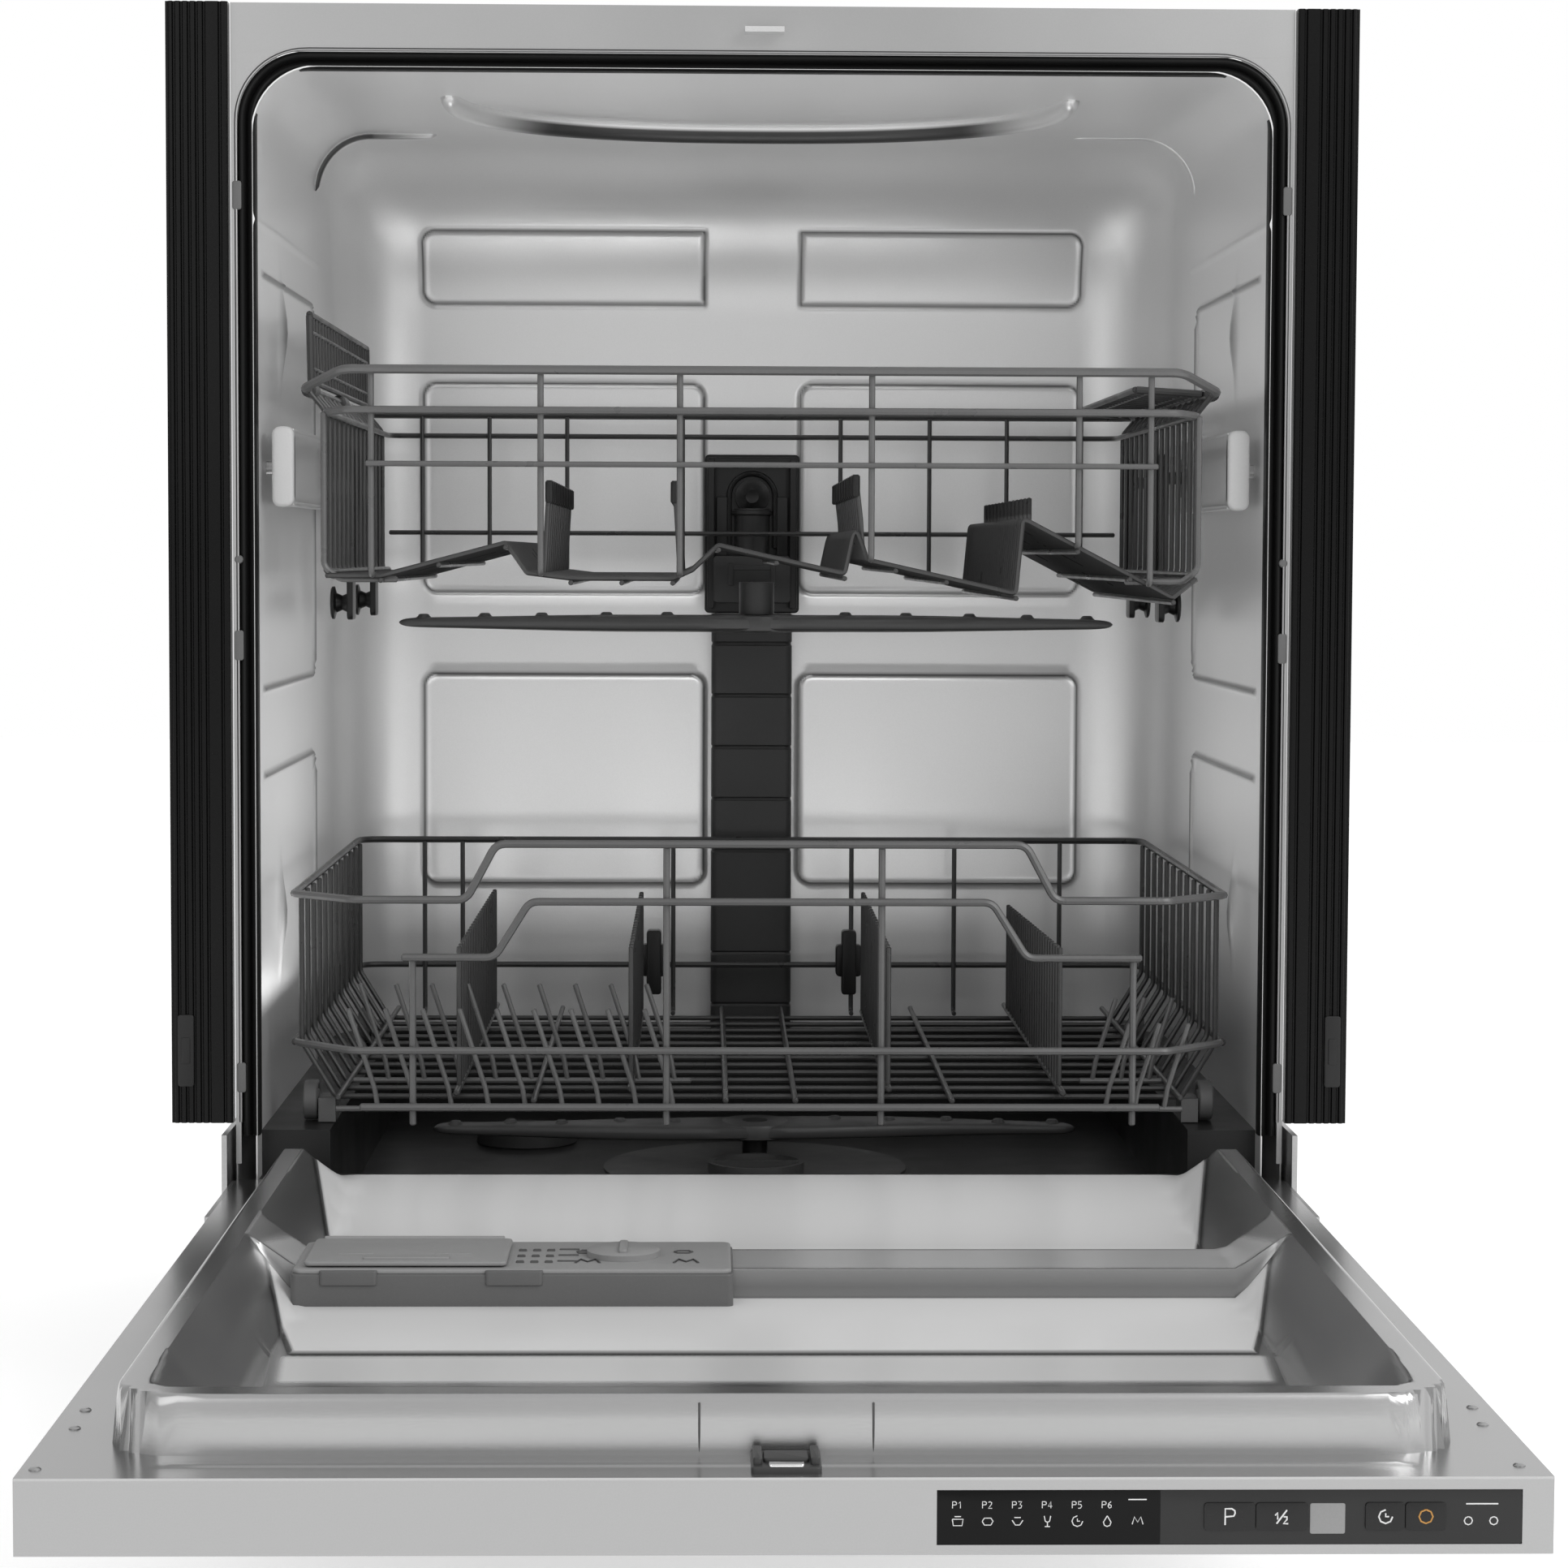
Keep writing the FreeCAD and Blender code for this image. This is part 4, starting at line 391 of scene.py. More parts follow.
def arch(half: float, top: float, corner: float, zs: Array, xs: Array,
         turns: int = 12) -> tuple[Array, Array]:
    """Line up the left side, over the top and down the right side of an opening.

    Args:
        half: Half width.
        top: Height of the top.
        corner: Radius of its two corners.
        zs: Heights of the points on each side.
        xs: Positions of the points across the top.
        turns: Points on each corner.

    Returns:
        Points as x and z, and the outward direction at each.
    """
    angle = np.linspace(math.pi, math.pi / 2, turns + 2)[1:-1]
    way = np.stack([np.cos(angle), np.sin(angle)], axis=1)
    side = np.stack([np.full(len(zs), -half), zs], axis=1)
    left = np.concatenate([side, way * corner + [corner - half, top - corner]])
    left_way = np.concatenate([np.tile([-1.0, 0.0], (len(zs), 1)), way])
    roof = np.stack([xs, np.full(len(xs), top)], axis=1)
    mirror = np.array([-1.0, 1.0])
    line = np.concatenate([left, roof, left[::-1] * mirror])
    ways = np.concatenate([left_way, np.tile([0.0, 1.0], (len(xs), 1)),
                           left_way[::-1] * mirror])
    return line, ways


@dataclass
class Shape:
    """Points and faces of one piece while it is worked out, in millimetres.

    X is to the right, Y goes back from the cabinet's front plane and Z goes up.
    """

    points: list[Array] = field(default_factory=list)
    tones: list[Array] = field(default_factory=list)
    faces: list[list[int]] = field(default_factory=list)
    count: int = 0

    def add(self, points: Array, *faces: Array, tone: Array | None = None) -> None:
        """Adds points and the faces between them.

        Args:
            points: New points, in any grid, whose last axis is x, y, z.
            faces: Arrays of faces, numbered from the first new point.
            tone: Tone of each point, below 0 painted shade and above 0 painted light.
        """
        flat = np.asarray(points, float).reshape(-1, 3)
        self.tones.append(np.zeros(len(flat)) if tone is None else tone.ravel())
        for group in faces:
            self.faces.extend((np.atleast_2d(group) + self.count).tolist())
        self.points.append(flat)
        self.count += len(flat)

    def shell(self, front: Array, back: Array, tone: Array | None = None) -> None:
        """Closed plate between two grids of the same size, joined along their borders.

        Args:
            front: Grid of points of the face that is seen.
            back: Grid of points behind it.
            tone: Tone at each point of the grid.
        """
        if tone is not None:
            tone = np.concatenate([tone.ravel(), tone.ravel()])
        rows, cols = front.shape[:2]
        number = np.arange(rows * cols).reshape(rows, cols)
        ring = np.concatenate([number[0, :-1], number[:-1, -1], number[-1, :0:-1],
                               number[:0:-1, 0]])
        following = np.roll(ring, -1)
        total = rows * cols
        rim = np.stack([following, ring, ring + total, following + total], axis=1)
        quads = grid_quads(rows, cols)
        self.add(np.concatenate([front.reshape(-1, 3), back.reshape(-1, 3)]), quads,
                 quads[:, ::-1] + total, rim, tone=tone)

    def loft(self, rings: Array, tone: Array | None = None) -> None:
        """Closed solid through rings of points, with a flat end on the first and last."""
        rows, cols = rings.shape[:2]
        first = np.arange(cols)[::-1]
        self.add(rings, grid_quads(rows, cols, wrap=True), first,
                 np.arange(cols) + (rows - 1) * cols, tone=tone)

    def ridge(self, path: Array, drop: Array, across: Array, wide: float, deep: float,
              dark: Array, band: tuple[float, float]) -> None:
        """Half-round ridge along a wall, dark in a band of its side that looks forward.

        The section is half an ellipse, closed a little behind the wall. It shrinks to
        its ends by the fourth root of one less the eighth power of the way along.

        Args:
            path: Points along the wall.
            drop: Direction away from the wall at each point.
            across: Direction along the wall, to the back, at each point.
            wide: Half width.
            deep: Height over the wall.
            dark: Strength of the painted shade band at each point.
            band: Heights that the painted shade band lies between, as shares of the height.
        """
        turn = np.linspace(math.pi, 0, 17)
        side = np.concatenate([np.cos(turn), [0.9, -0.9]])[None, :, None]
        rise = np.concatenate([np.sin(turn), [-0.1, -0.1]])[None, :, None]
        share = np.linspace(-1, 1, len(path))
        size = np.clip(1 - share**8, 0.004, 1) ** 0.25
        size = size[:, None, None]
        ring = (path[:, None] + size * (wide * side * across[:, None]
                                        + deep * rise * drop[:, None]))
        level = rise[..., 0]
        # Painted shade: mask of the band on the forward side, whose tone goes below 0.
        painted_shade = smooth(level, band[0] - 0.12, band[0]) * (1 - smooth(level, band[1],
                                                                   band[1] + 0.1))
        painted_shade = painted_shade * (1 - smooth(side[..., 0], 0.2, 0.5))
        self.loft(ring, -dark[:, None] * painted_shade)

    def tube(self, points: list[tuple[float, float, float]] | Array, diameter: float,
             bend: float = 6.0, sides: int = 8) -> None:
        """Round wire along a path, with its ends eased.

        Each ring lies across the path's direction, turned by the direction that the
        path varies in least.

        Args:
            points: Corners of the path.
            diameter: Thickness of the wire.
            bend: Radius at the corners.
            sides: Sides of the wire's section.
        """
        path = rounded(np.asarray(points, float), bend)
        run = unit(np.diff(path, axis=0))
        along = unit(np.concatenate([run[:1], run[:-1] + run[1:], run[-1:]]))
        steady = np.linalg.svd(run, full_matrices=True)[2][-1]
        across = unit(np.cross(along, steady))
        up = np.cross(across, along)
        radius = diameter / 2
        ease = 0.4 * radius
        centre = np.concatenate([path[:1], path[:1] + along[:1] * ease, path[1:-1],
                                 path[-1:] - along[-1:] * ease, path[-1:]])
        across = np.concatenate([across[:1], across[:1], across[1:-1], across[-1:],
                                 across[-1:]])
        up = np.concatenate([up[:1], up[:1], up[1:-1], up[-1:], up[-1:]])
        size = np.full(len(centre), radius)
        size[[0, -1]] = 0.55 * radius
        angle = np.linspace(0, 2 * math.pi, sides, endpoint=False)[None, :, None]
        ring = np.cos(angle) * across[:, None] + np.sin(angle) * up[:, None]
        self.loft(centre[:, None] + size[:, None, None] * ring)

    def prism(self, line: Array, low: float, high: float, axis: str = "z",
              edge: float = 0.6) -> None:
        """Outline drawn along an axis, with both ends' edges rounded.

        Args:
            line: Outline, anticlockwise. It is x and y along z, x and z along y, or
                y and z along x.
            low: Where it starts.
            high: Where it ends.
            axis: Axis that it is drawn along.
            edge: Radius of the end edges.
        """
        turn = np.linspace(0, math.pi / 2, 4)
        drop, height = edge * (1 - np.sin(turn)), edge * (1 - np.cos(turn))
        drop = np.concatenate([drop, drop[::-1]])
        height = np.concatenate([low + height, (high - height)[::-1]])
        rings = np.stack([np.concatenate(
            [inset(line, d), np.full((len(line), 1), h)], axis=1)
            for d, h in zip(drop, height)])
        order = {"z": [0, 1, 2], "y": [0, 2, 1], "x": [2, 0, 1]}[axis]
        self.loft(rings[..., order])

    def block(self, low: tuple[float, float, float], high: tuple[float, float, float],
              radius: float = 1.0, edge: float = 0.6, axis: str = "z") -> None:
        """Rounded block between two corners, with the larger radius about one axis."""
        u, v, w = {"z": (0, 1, 2), "y": (0, 2, 1), "x": (1, 2, 0)}[axis]
        line = outline((low[u], high[u]), (low[v], high[v]), radius)
        self.prism(line, low[w], high[w], axis, edge)

    def lathe(self, profile: list[tuple[float, float]], centre: tuple[float, float, float],
              axis: str = "x", sides: int = 28) -> None:
        """Profile turned about an axis.

        Args:
            profile: Pairs of distance along the axis and radius.
            centre: Point on the axis that distances start from.
            axis: Axis of the turning.
            sides: Points round it.
        """
        line = np.asarray(profile, float)
        angle = np.linspace(0, 2 * math.pi, sides, endpoint=False)
        ring = np.stack([line[:, :1] + 0 * angle, line[:, 1:] * np.cos(angle),
                         line[:, 1:] * np.sin(angle)], axis=-1)
        order = {"x": [0, 1, 2], "y": [2, 0, 1], "z": [1, 2, 0]}[axis]
        self.loft(ring[..., order] + np.asarray(centre, float))

    def strokes(self, lines: list[list[tuple[float, float]]], origin: tuple[float, float],
                size: float, plane: float, width: float = 0.5,
                flat: bool = False) -> None:
        """Printed sign of thin strokes on a face that looks to the front or up.

        Args:
            lines: Strokes, as points in a square of side one.
            origin: Lower left corner of the sign: x and z, or x and y when flat.
            size: Side of the square.
            plane: Plane of the face.
            width: Width of a stroke.
            flat: Whether the face looks up.
        """
        for line in lines:
            spots = np.asarray(line, float) * size + origin
            level = np.full(len(spots), plane)
            order = ((spots[:, 0], spots[:, 1], level) if flat
                     else (spots[:, 0], level, spots[:, 1]))
            self.tube(np.stack(order, axis=1), width, 0.0, 6)

    def piece(self, name: str, look: Look, body: str, stands_for: tuple[str, ...] = (),
              crease: float = 40.0, bevel: float = 0.0) -> bpy.types.Object:
        """Makes the Blender object and ties it to its CAD body.

        Args:
            name: Name of the piece.
            look: Its finish.
            body: CAD body that it moves with.
            stands_for: CAD nodes that it takes the place of.
            crease: Angle between faces, in degrees, from which an edge is sharp.
            bevel: Width of a rounded edge in millimetres, or none.

        Returns:
            The object, at the origin, with its place in its mesh.
        """
        points = (np.concatenate(self.points) + [0.0, FRONT, 0.0]) * MM
        mesh = bpy.data.meshes.new(name)
        mesh.from_pydata(points.tolist(), [], self.faces)
        work = bmesh.new()
        work.from_mesh(mesh)
        bmesh.ops.recalc_face_normals(work, faces=work.faces)
        work.to_mesh(mesh)
        work.free()
        mesh.shade_smooth()
        mesh.set_sharp_from_angle(angle=math.radians(crease))
        mesh.materials.append(look.value.material())
        tone = np.concatenate(self.tones)
        if np.abs(tone).max() > 0:
            mesh.attributes.new("tone", "FLOAT", "POINT").data.foreach_set(
                "value", tone.astype(np.float32))
        piece = bpy.data.objects.new(name, mesh)
        bpy.context.scene.collection.objects.link(piece)
        if bevel:
            edge = piece.modifiers.new("rounded_edges", "BEVEL")
            edge.width, edge.segments, edge.limit_method = bevel * MM, 2, "ANGLE"
        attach(piece, body)
        if stands_for:
            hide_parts(*stands_for)
        LOG.info("%s on %s: %d faces", name, body, len(mesh.polygons))
        return piece


def node_span(node: str) -> tuple[Array, Array]:
    """Lowest and highest corner of a CAD node, in millimetres from the front plane."""
    low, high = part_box(node)
    shift = np.array([0.0, FRONT, 0.0])
    return np.array(low) / MM - shift, np.array(high) / MM - shift


def dress(looks: dict[str, Look]) -> None:
    """Gives CAD nodes that stay in view their finish."""
    for node, look in looks.items():
        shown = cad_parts[node]
        if not shown.material_slots:
            shown.data.materials.append(None)
        for material_slot in shown.material_slots:
            material_slot.material = look.value.material()
        LOG.info("%s dressed as %s", node, look.value.name)


SIDES = (-1.0, 1.0)


# ---------------------------------------------------------------- tub
@dataclass
class Tub:
    """Pressed steel tub: wrapper, back wall, seal, front frame and its plugs."""

    half: float = 287.0
    top: float = 780.0
    corner: float = 37.0
    low: float = 150.0
    join: float = 345.0
    back: float = 490.0
    round_side: float = 60.0
    round_top: float = 110.0
    sheet: float = 0.8
    ridge_half: float = 186.0
    ridge_start: float = 130.0
    ridge_run: float = 152.0
    ridge_power: float = 2.4
    bend_y: float = 333.0
    bend_end: float = 208.0
    bend_steps: int = 22
    run_steps: int = 14

    def wrapper(self) -> None:
        """Sides and ceiling, with pressed beads.

        The surface is the arch carried from front to back. It moves in by the bead's
        height: brackets on the sides, small fins and the seam. Its tone paints shade along
        the bracket beads and on the fins.
        """
        zs = places(self.low, self.top - self.corner, 8, (379, 429, 667, 695))
        xs = places(self.corner - self.half, self.half - self.corner, 4.4)
        ys = places(1, self.join, 4, (38, 310, 335))
        line, way = arch(self.half, self.top, self.corner, zs, xs)
        x, y = np.meshgrid(line[:, 0], ys, indexing="ij")
        z = np.repeat(line[:, 1:], len(ys), axis=1)
        side = np.abs(way[:, :1]) * (z < self.top - self.corner + 1)
        fade = smooth(y, 34, 42)
        upper = box_distance(y, z, (-80, 310), (429, 667), 16)
        lower = box_distance(y, z, (-80, 310), (-200, 379), 16)
        inward = side * fade * (bead(upper, 1.7, 2.2) + bead(lower, 1.7, 2.2))
        # Painted shade: a dark line of tone along the bracket beads.
        tone = -0.9 * side * fade * (bead(upper, 1.3, 1) + bead(lower, 1.3, 1))
        inward += side * bead(z - 695, 2.5, 1.0)
        for y_mid, z_mid in ((118, 292), (132, 640)):
            fin = np.hypot((y - y_mid) / 7, (z - z_mid) / 24)
            inward += side * bead(fin, 1.0, 4.5)
            # Painted shade on each fin.
            tone -= 0.8 * side * bead(fin, 0.9, 1)
        normal = np.stack([way[:, 0], np.zeros(len(way)), way[:, 1]], 1)[:, None]
        skin = np.stack([x, y, z], axis=-1)
        shape = Shape()
        shape.shell(skin - inward[..., None] * normal, skin + self.sheet * normal, tone)
        shape.piece("tub_walls", Look.TUB, "cabinet", ("tub_wrapper",), 60)

    def ridges(self) -> None:
        """Curved ridge on the ceiling and bent ridges round its two rear corners.

        The long one is a flattened ellipse's arc in plan. The others follow the corner's
        circle and run on along the ceiling. Each has painted shade in a band of its forward
        side, strongest at the middle of the long one and on the left corner.
        """
        t = np.linspace(-1, 1, 97)
        x = self.ridge_half * np.sin(t * math.pi / 2)
        share = np.abs(x / self.ridge_half)
        y = self.ridge_start + self.ridge_run * np.sqrt(
            np.clip(1 - share**self.ridge_power, 0, 1))
        path = np.stack([x, y, np.full_like(x, self.top)], axis=1)
        along = unit(np.gradient(path, axis=0))
        up = np.array([0.0, 0.0, 1.0])
        across = np.cross(np.broadcast_to(up, along.shape), along)
        shape = Shape()
        # Painted shade in a band on the ceiling ridge's forward side, strongest at its
        # middle.
        shape.ridge(path, np.broadcast_to(-up, path.shape), across, 8.0, 10.5,
                    1 - 0.9 * smooth(np.abs(x), 130, 176), (0.34, 1.1))
        angle = np.linspace(0, math.pi / 2, self.bend_steps)
        middle = np.array([self.half - self.corner, self.top - self.corner])
        way = np.stack([np.cos(angle), np.sin(angle)], axis=1)
        run = np.stack([np.linspace(middle[0] - 2, self.bend_end, self.run_steps),
                        np.full(self.run_steps, self.top)], axis=1)
        line = np.concatenate([middle + self.corner * way, run])
        out = np.concatenate([way, np.tile([0.0, 1.0], (self.run_steps, 1))])
        # Painted shade along the corner ridges, fading as they run on along the ceiling.
        dark = np.concatenate([np.ones(self.bend_steps),
                               np.linspace(0.9, 0.15, self.run_steps)])
        level = np.zeros(len(line))
        for side in SIDES:
            path = np.stack([side * line[:, 0], level + self.bend_y, line[:, 1]], axis=1)
            drop = -np.stack([side * out[:, 0], level, out[:, 1]], axis=1)
            # Strong painted shade on the left corner ridge, only a trace on the right one.
            shape.ridge(path, drop, np.tile([0.0, 1.0, 0.0], (len(line), 1)), 4.0,
                        4.0 if side < 0 else 1.6, dark * (1.0 if side < 0 else 0.1),
                        (0.1, 0.8))
        shape.piece("tub_ridges", Look.TUB, "cabinet", (), 60)

    def back_wall(self) -> None:
        """Deep-drawn back, rounded to the sides and more roundly to the ceiling.

        One profile runs across and one up. The depth is the product of the two, and the
        square long corners are drawn in to a circle's arc where the wrapper is round.
        """
        def profile(flat: Array, wall: float, radius: float) -> tuple[Array, Array]:
            """Positions and depths from the rim, along the wall, round and on the flat."""
            straight = np.linspace(self.join, self.back - radius, 8)
            turn = np.linspace(0, math.pi / 2, int(radius * 1.2))[1:-1]
            place = np.concatenate([np.full(8, wall), wall - radius * (1 - np.cos(turn)),
                                    flat])
            deep = np.concatenate([straight, self.back - radius + radius * np.sin(turn),
                                   np.full(len(flat), self.back)])
            return place, (deep - self.join) / (self.back - self.join)

        inner = self.half - self.round_side
        xs = places(-inner, inner, 7.6, (-222, -37.5, 37.5, 222), 9, 1.3)
        left, rise = profile(np.array([inner]), self.half, self.round_side)
        across = np.concatenate([-left[:-1], xs, left[:-1][::-1]])
        deep_x = np.concatenate([rise[:-1], np.ones(len(xs)), rise[:-1][::-1]])
        zs = places(self.low, self.top - self.round_top, 7.6, (283, 419, 486, 621), 8, 1.3)
        down, deep_z = profile(zs[::-1], self.top, self.round_top)
        x, z = np.meshgrid(across, down, indexing="ij")
        depth = deep_x[:, None] * deep_z[None, :]
        out_x = np.maximum(np.abs(x) - self.half + self.corner, 0) / self.corner
        out_z = np.maximum(z - self.top + self.corner, 0) / self.corner
        x_round = np.sign(x) * (self.half - self.corner + self.corner * out_x
                                * np.sqrt(1 - out_z**2 / 2))
        z_round = self.top - self.corner + self.corner * out_z * np.sqrt(1 - out_x**2 / 2)
        skin_x = np.where(out_x > 0, x_round, x)
        skin_z = np.where(out_z > 0, z_round, z)
        y = self.join + (self.back - self.join) * depth
        far = np.abs(x) > 131
        inward, tone = np.zeros_like(x), np.zeros_like(x)
        for low, high, inner_round in ((681, 730, 0.5), (481, 626, 9), (278, 424, 9)):
            radius = np.where(far, 9.0, inner_round)
            line = box_distance(np.abs(x), z, (33.5, 228), (low, high), radius)
            inward += bead(line, 1.7, 2.0) + 0.5 * smooth(-line, 0, 3)
            # Painted shade: a dark line of tone along each bead.
            tone -= bead(line, 1.2, 0.95)
        y_skin = y - inward
        normal = np.stack([np.sign(x) * (np.abs(x) > inner), np.ones_like(x),
                           (z > self.top - self.round_top) * 1.0], -1)
        shape = Shape()
        skin = np.stack([skin_x, y_skin, skin_z], axis=-1)
        shape.shell(skin, skin + self.sheet * unit(normal), tone)
        shape.piece("tub_back", Look.TUB, "cabinet", ("tub_back_panel",), 60)

    def seal(self) -> None:
        """Door seal in a channel round the opening: a lip, a groove and a bulb."""
        low = node_span("tub_gasket")[0]
        zs = np.linspace(low[2], 749.6, 40)
        line, way = arch(285.6, 778.6, 29, zs, np.linspace(-256, 256, 30), 14)
        profile = np.array([[0, 11.5], [0, 3.5], [0.6, 1.6], [2, 0.8], [3.4, 1.6], [4, 3.4],
                            [4.8, 4.4], [5.6, 3.4], [6.2, 1.2], [7.4, 0.2], [8.8, 0.6],
                            [9.8, 2.2], [9.8, 11.5]])[::-1]
        place = line[:, None] + way[:, None] * profile[None, :, :1]
        y = np.broadcast_to(profile[None, :, 1], place.shape[:2])
        shape = Shape()
        shape.loft(np.stack([place[..., 0], y, place[..., 1]], axis=-1))
        shape.piece("door_seal", Look.RUBBER, "cabinet", ("tub_gasket",), 50)

    def edging(self) -> None:
        """Rolled steel lip outside the seal, and the grey plugs down the frame."""
        line, way = arch(296.2, 789.4, 40, np.linspace(184, 748, 30),
                         np.linspace(-255, 255, 20), 14)
        angle = np.linspace(0, 2 * math.pi, 10, endpoint=False)
        place = line[:, None] + way[:, None] * 0.9 * np.cos(angle)[None, :, None]
        y = np.broadcast_to(-0.4 + 0.9 * np.sin(angle)[None, :], place.shape[:2])
        shape = Shape()
        # Painted shade on the outer half of the rolled lip, through its tone.
        shape.loft(np.stack([place[..., 0], y, place[..., 1]], axis=-1),
                   np.broadcast_to(-0.9 * smooth(np.cos(angle), -0.2, 0.3),
                                   place.shape[:2]))
        shape.piece("frame_lip", Look.FACE, "cabinet")
        fills = Shape()
        turn = np.linspace(0, math.pi / 2, 14)
        for side in SIDES:
            arc = np.stack([256.2 + 40 * np.cos(turn), 749.4 + 40 * np.sin(turn)], axis=1)
            line = np.concatenate([arc, [[256.2, 790.0], [297.0, 790.0], [297.0, 749.4]]])
            line[:, 0] *= side
            fills.prism(line if side > 0 else line[::-1], 0.1, 1.3, "y", 0.05)
        fills.piece("frame_corners", Look.FACE, "cabinet")
        plugs = Shape()
        for side in SIDES:
            for low, high in ((700, 716), (447, 464), (201, 218)):
                xs = sorted((side * 293.2, side * 298.2))
                plugs.block((xs[0], -1.4, low), (xs[1], 4, high), 1.4, 0.5, "y")
            plugs.lathe([(-1.4, 1.2), (-1.2, 2.0), (-0.6, 2.4), (3, 2.4)],
                        (side * 295.6, 0, 504), "y")
        plugs.piece("frame_plugs", Look.GREY, "cabinet")

    def build(self) -> None:
        """Makes every piece of the tub."""
        self.wrapper()
        self.ridges()
        self.back_wall()
        self.seal()
        self.edging()


@dataclass
class Cabinet:
    """Black side trims, steel front frame and the outer case."""

    inner: float = 300.0
    outer: float = 334.8
    grooves: tuple[float, ...] = (4.4, 13.2, 17.4, 21.6, 25.8, 30.0)

    def trims(self) -> None:
        """Ribbed strips: a profile across is drawn up the full height."""
        low, high = node_span("side_trims")
        shape = Shape()
        near, far = low[1], high[1]
        for side in SIDES:
            u = np.linspace(0, self.outer - self.inner, 175)
            groove = np.abs(u[:, None] - np.array(self.grooves)).min(axis=1)
            wave = 1.3 * smooth(groove, 0.4, 1.0)
            wave -= 1.3 * smooth(u, 32.2, 33.6) + 1.1 * (1 - smooth(u, 0, 1.2))
            face = np.stack([side * (self.inner + u), near + 1.6 - wave], axis=1)
            back = np.array([[side * self.outer, far], [side * self.inner, far]])
            ring = np.concatenate([face, back])
            zs = np.array([low[2], low[2] + 0.6, high[2] - 0.6, high[2]])
            rings = np.concatenate([np.broadcast_to(ring, (4,) + ring.shape),
                                    np.broadcast_to(zs[:, None, None], (4, len(ring), 1))],
                                   axis=-1)
            shape.loft(rings)
        shape.piece("side_strips", Look.TRIM, "cabinet", ("side_trims",), 50)
        clips = Shape()
        for side in SIDES:
            xs = sorted((side * 322, side * 331))
            clips.block((xs[0], near - 0.9, 205), (xs[1], near + 1.5, 246), 1.5, 0.5, "y")
            clips.block((xs[0] + 2, near - 1.4, 218), (xs[1] - 2, near + 1.5, 233), 1, 0.4,
                        "y")
        clips.piece("strip_clips", Look.BLACK, "cabinet")

    def build(self) -> None:
        """Makes the trims and dresses the case."""
        self.trims()
        dress({"front_frame": Look.FACE, "case_panels": Look.CASE,
               "tub_floor": Look.BLACK, "sump_housing": Look.BLACK,
               "filter_plate": Look.ARM, "salt_container": Look.BLACK,
               "salt_cap": Look.DARK, "filter_cup": Look.ARM,
               "base_pan": Look.BLACK, "kick_plate": Look.BLACK,
               "circulation_pump": Look.PUMP, "drain_pump": Look.BLACK,
               "water_inlet": Look.BLACK, "cable_gland": Look.BLACK,
               "top_insulation": Look.FELT, "rail_axles": Look.SPRING,
               "hinge_brackets": Look.SPRING, "door_springs": Look.SPRING,
               "latch_striker": Look.BRIGHT, "foot_front_left": Look.BLACK,
               "foot_front_right": Look.BLACK, "foot_rear": Look.BLACK,
               "hinge_arms": Look.SPRING})


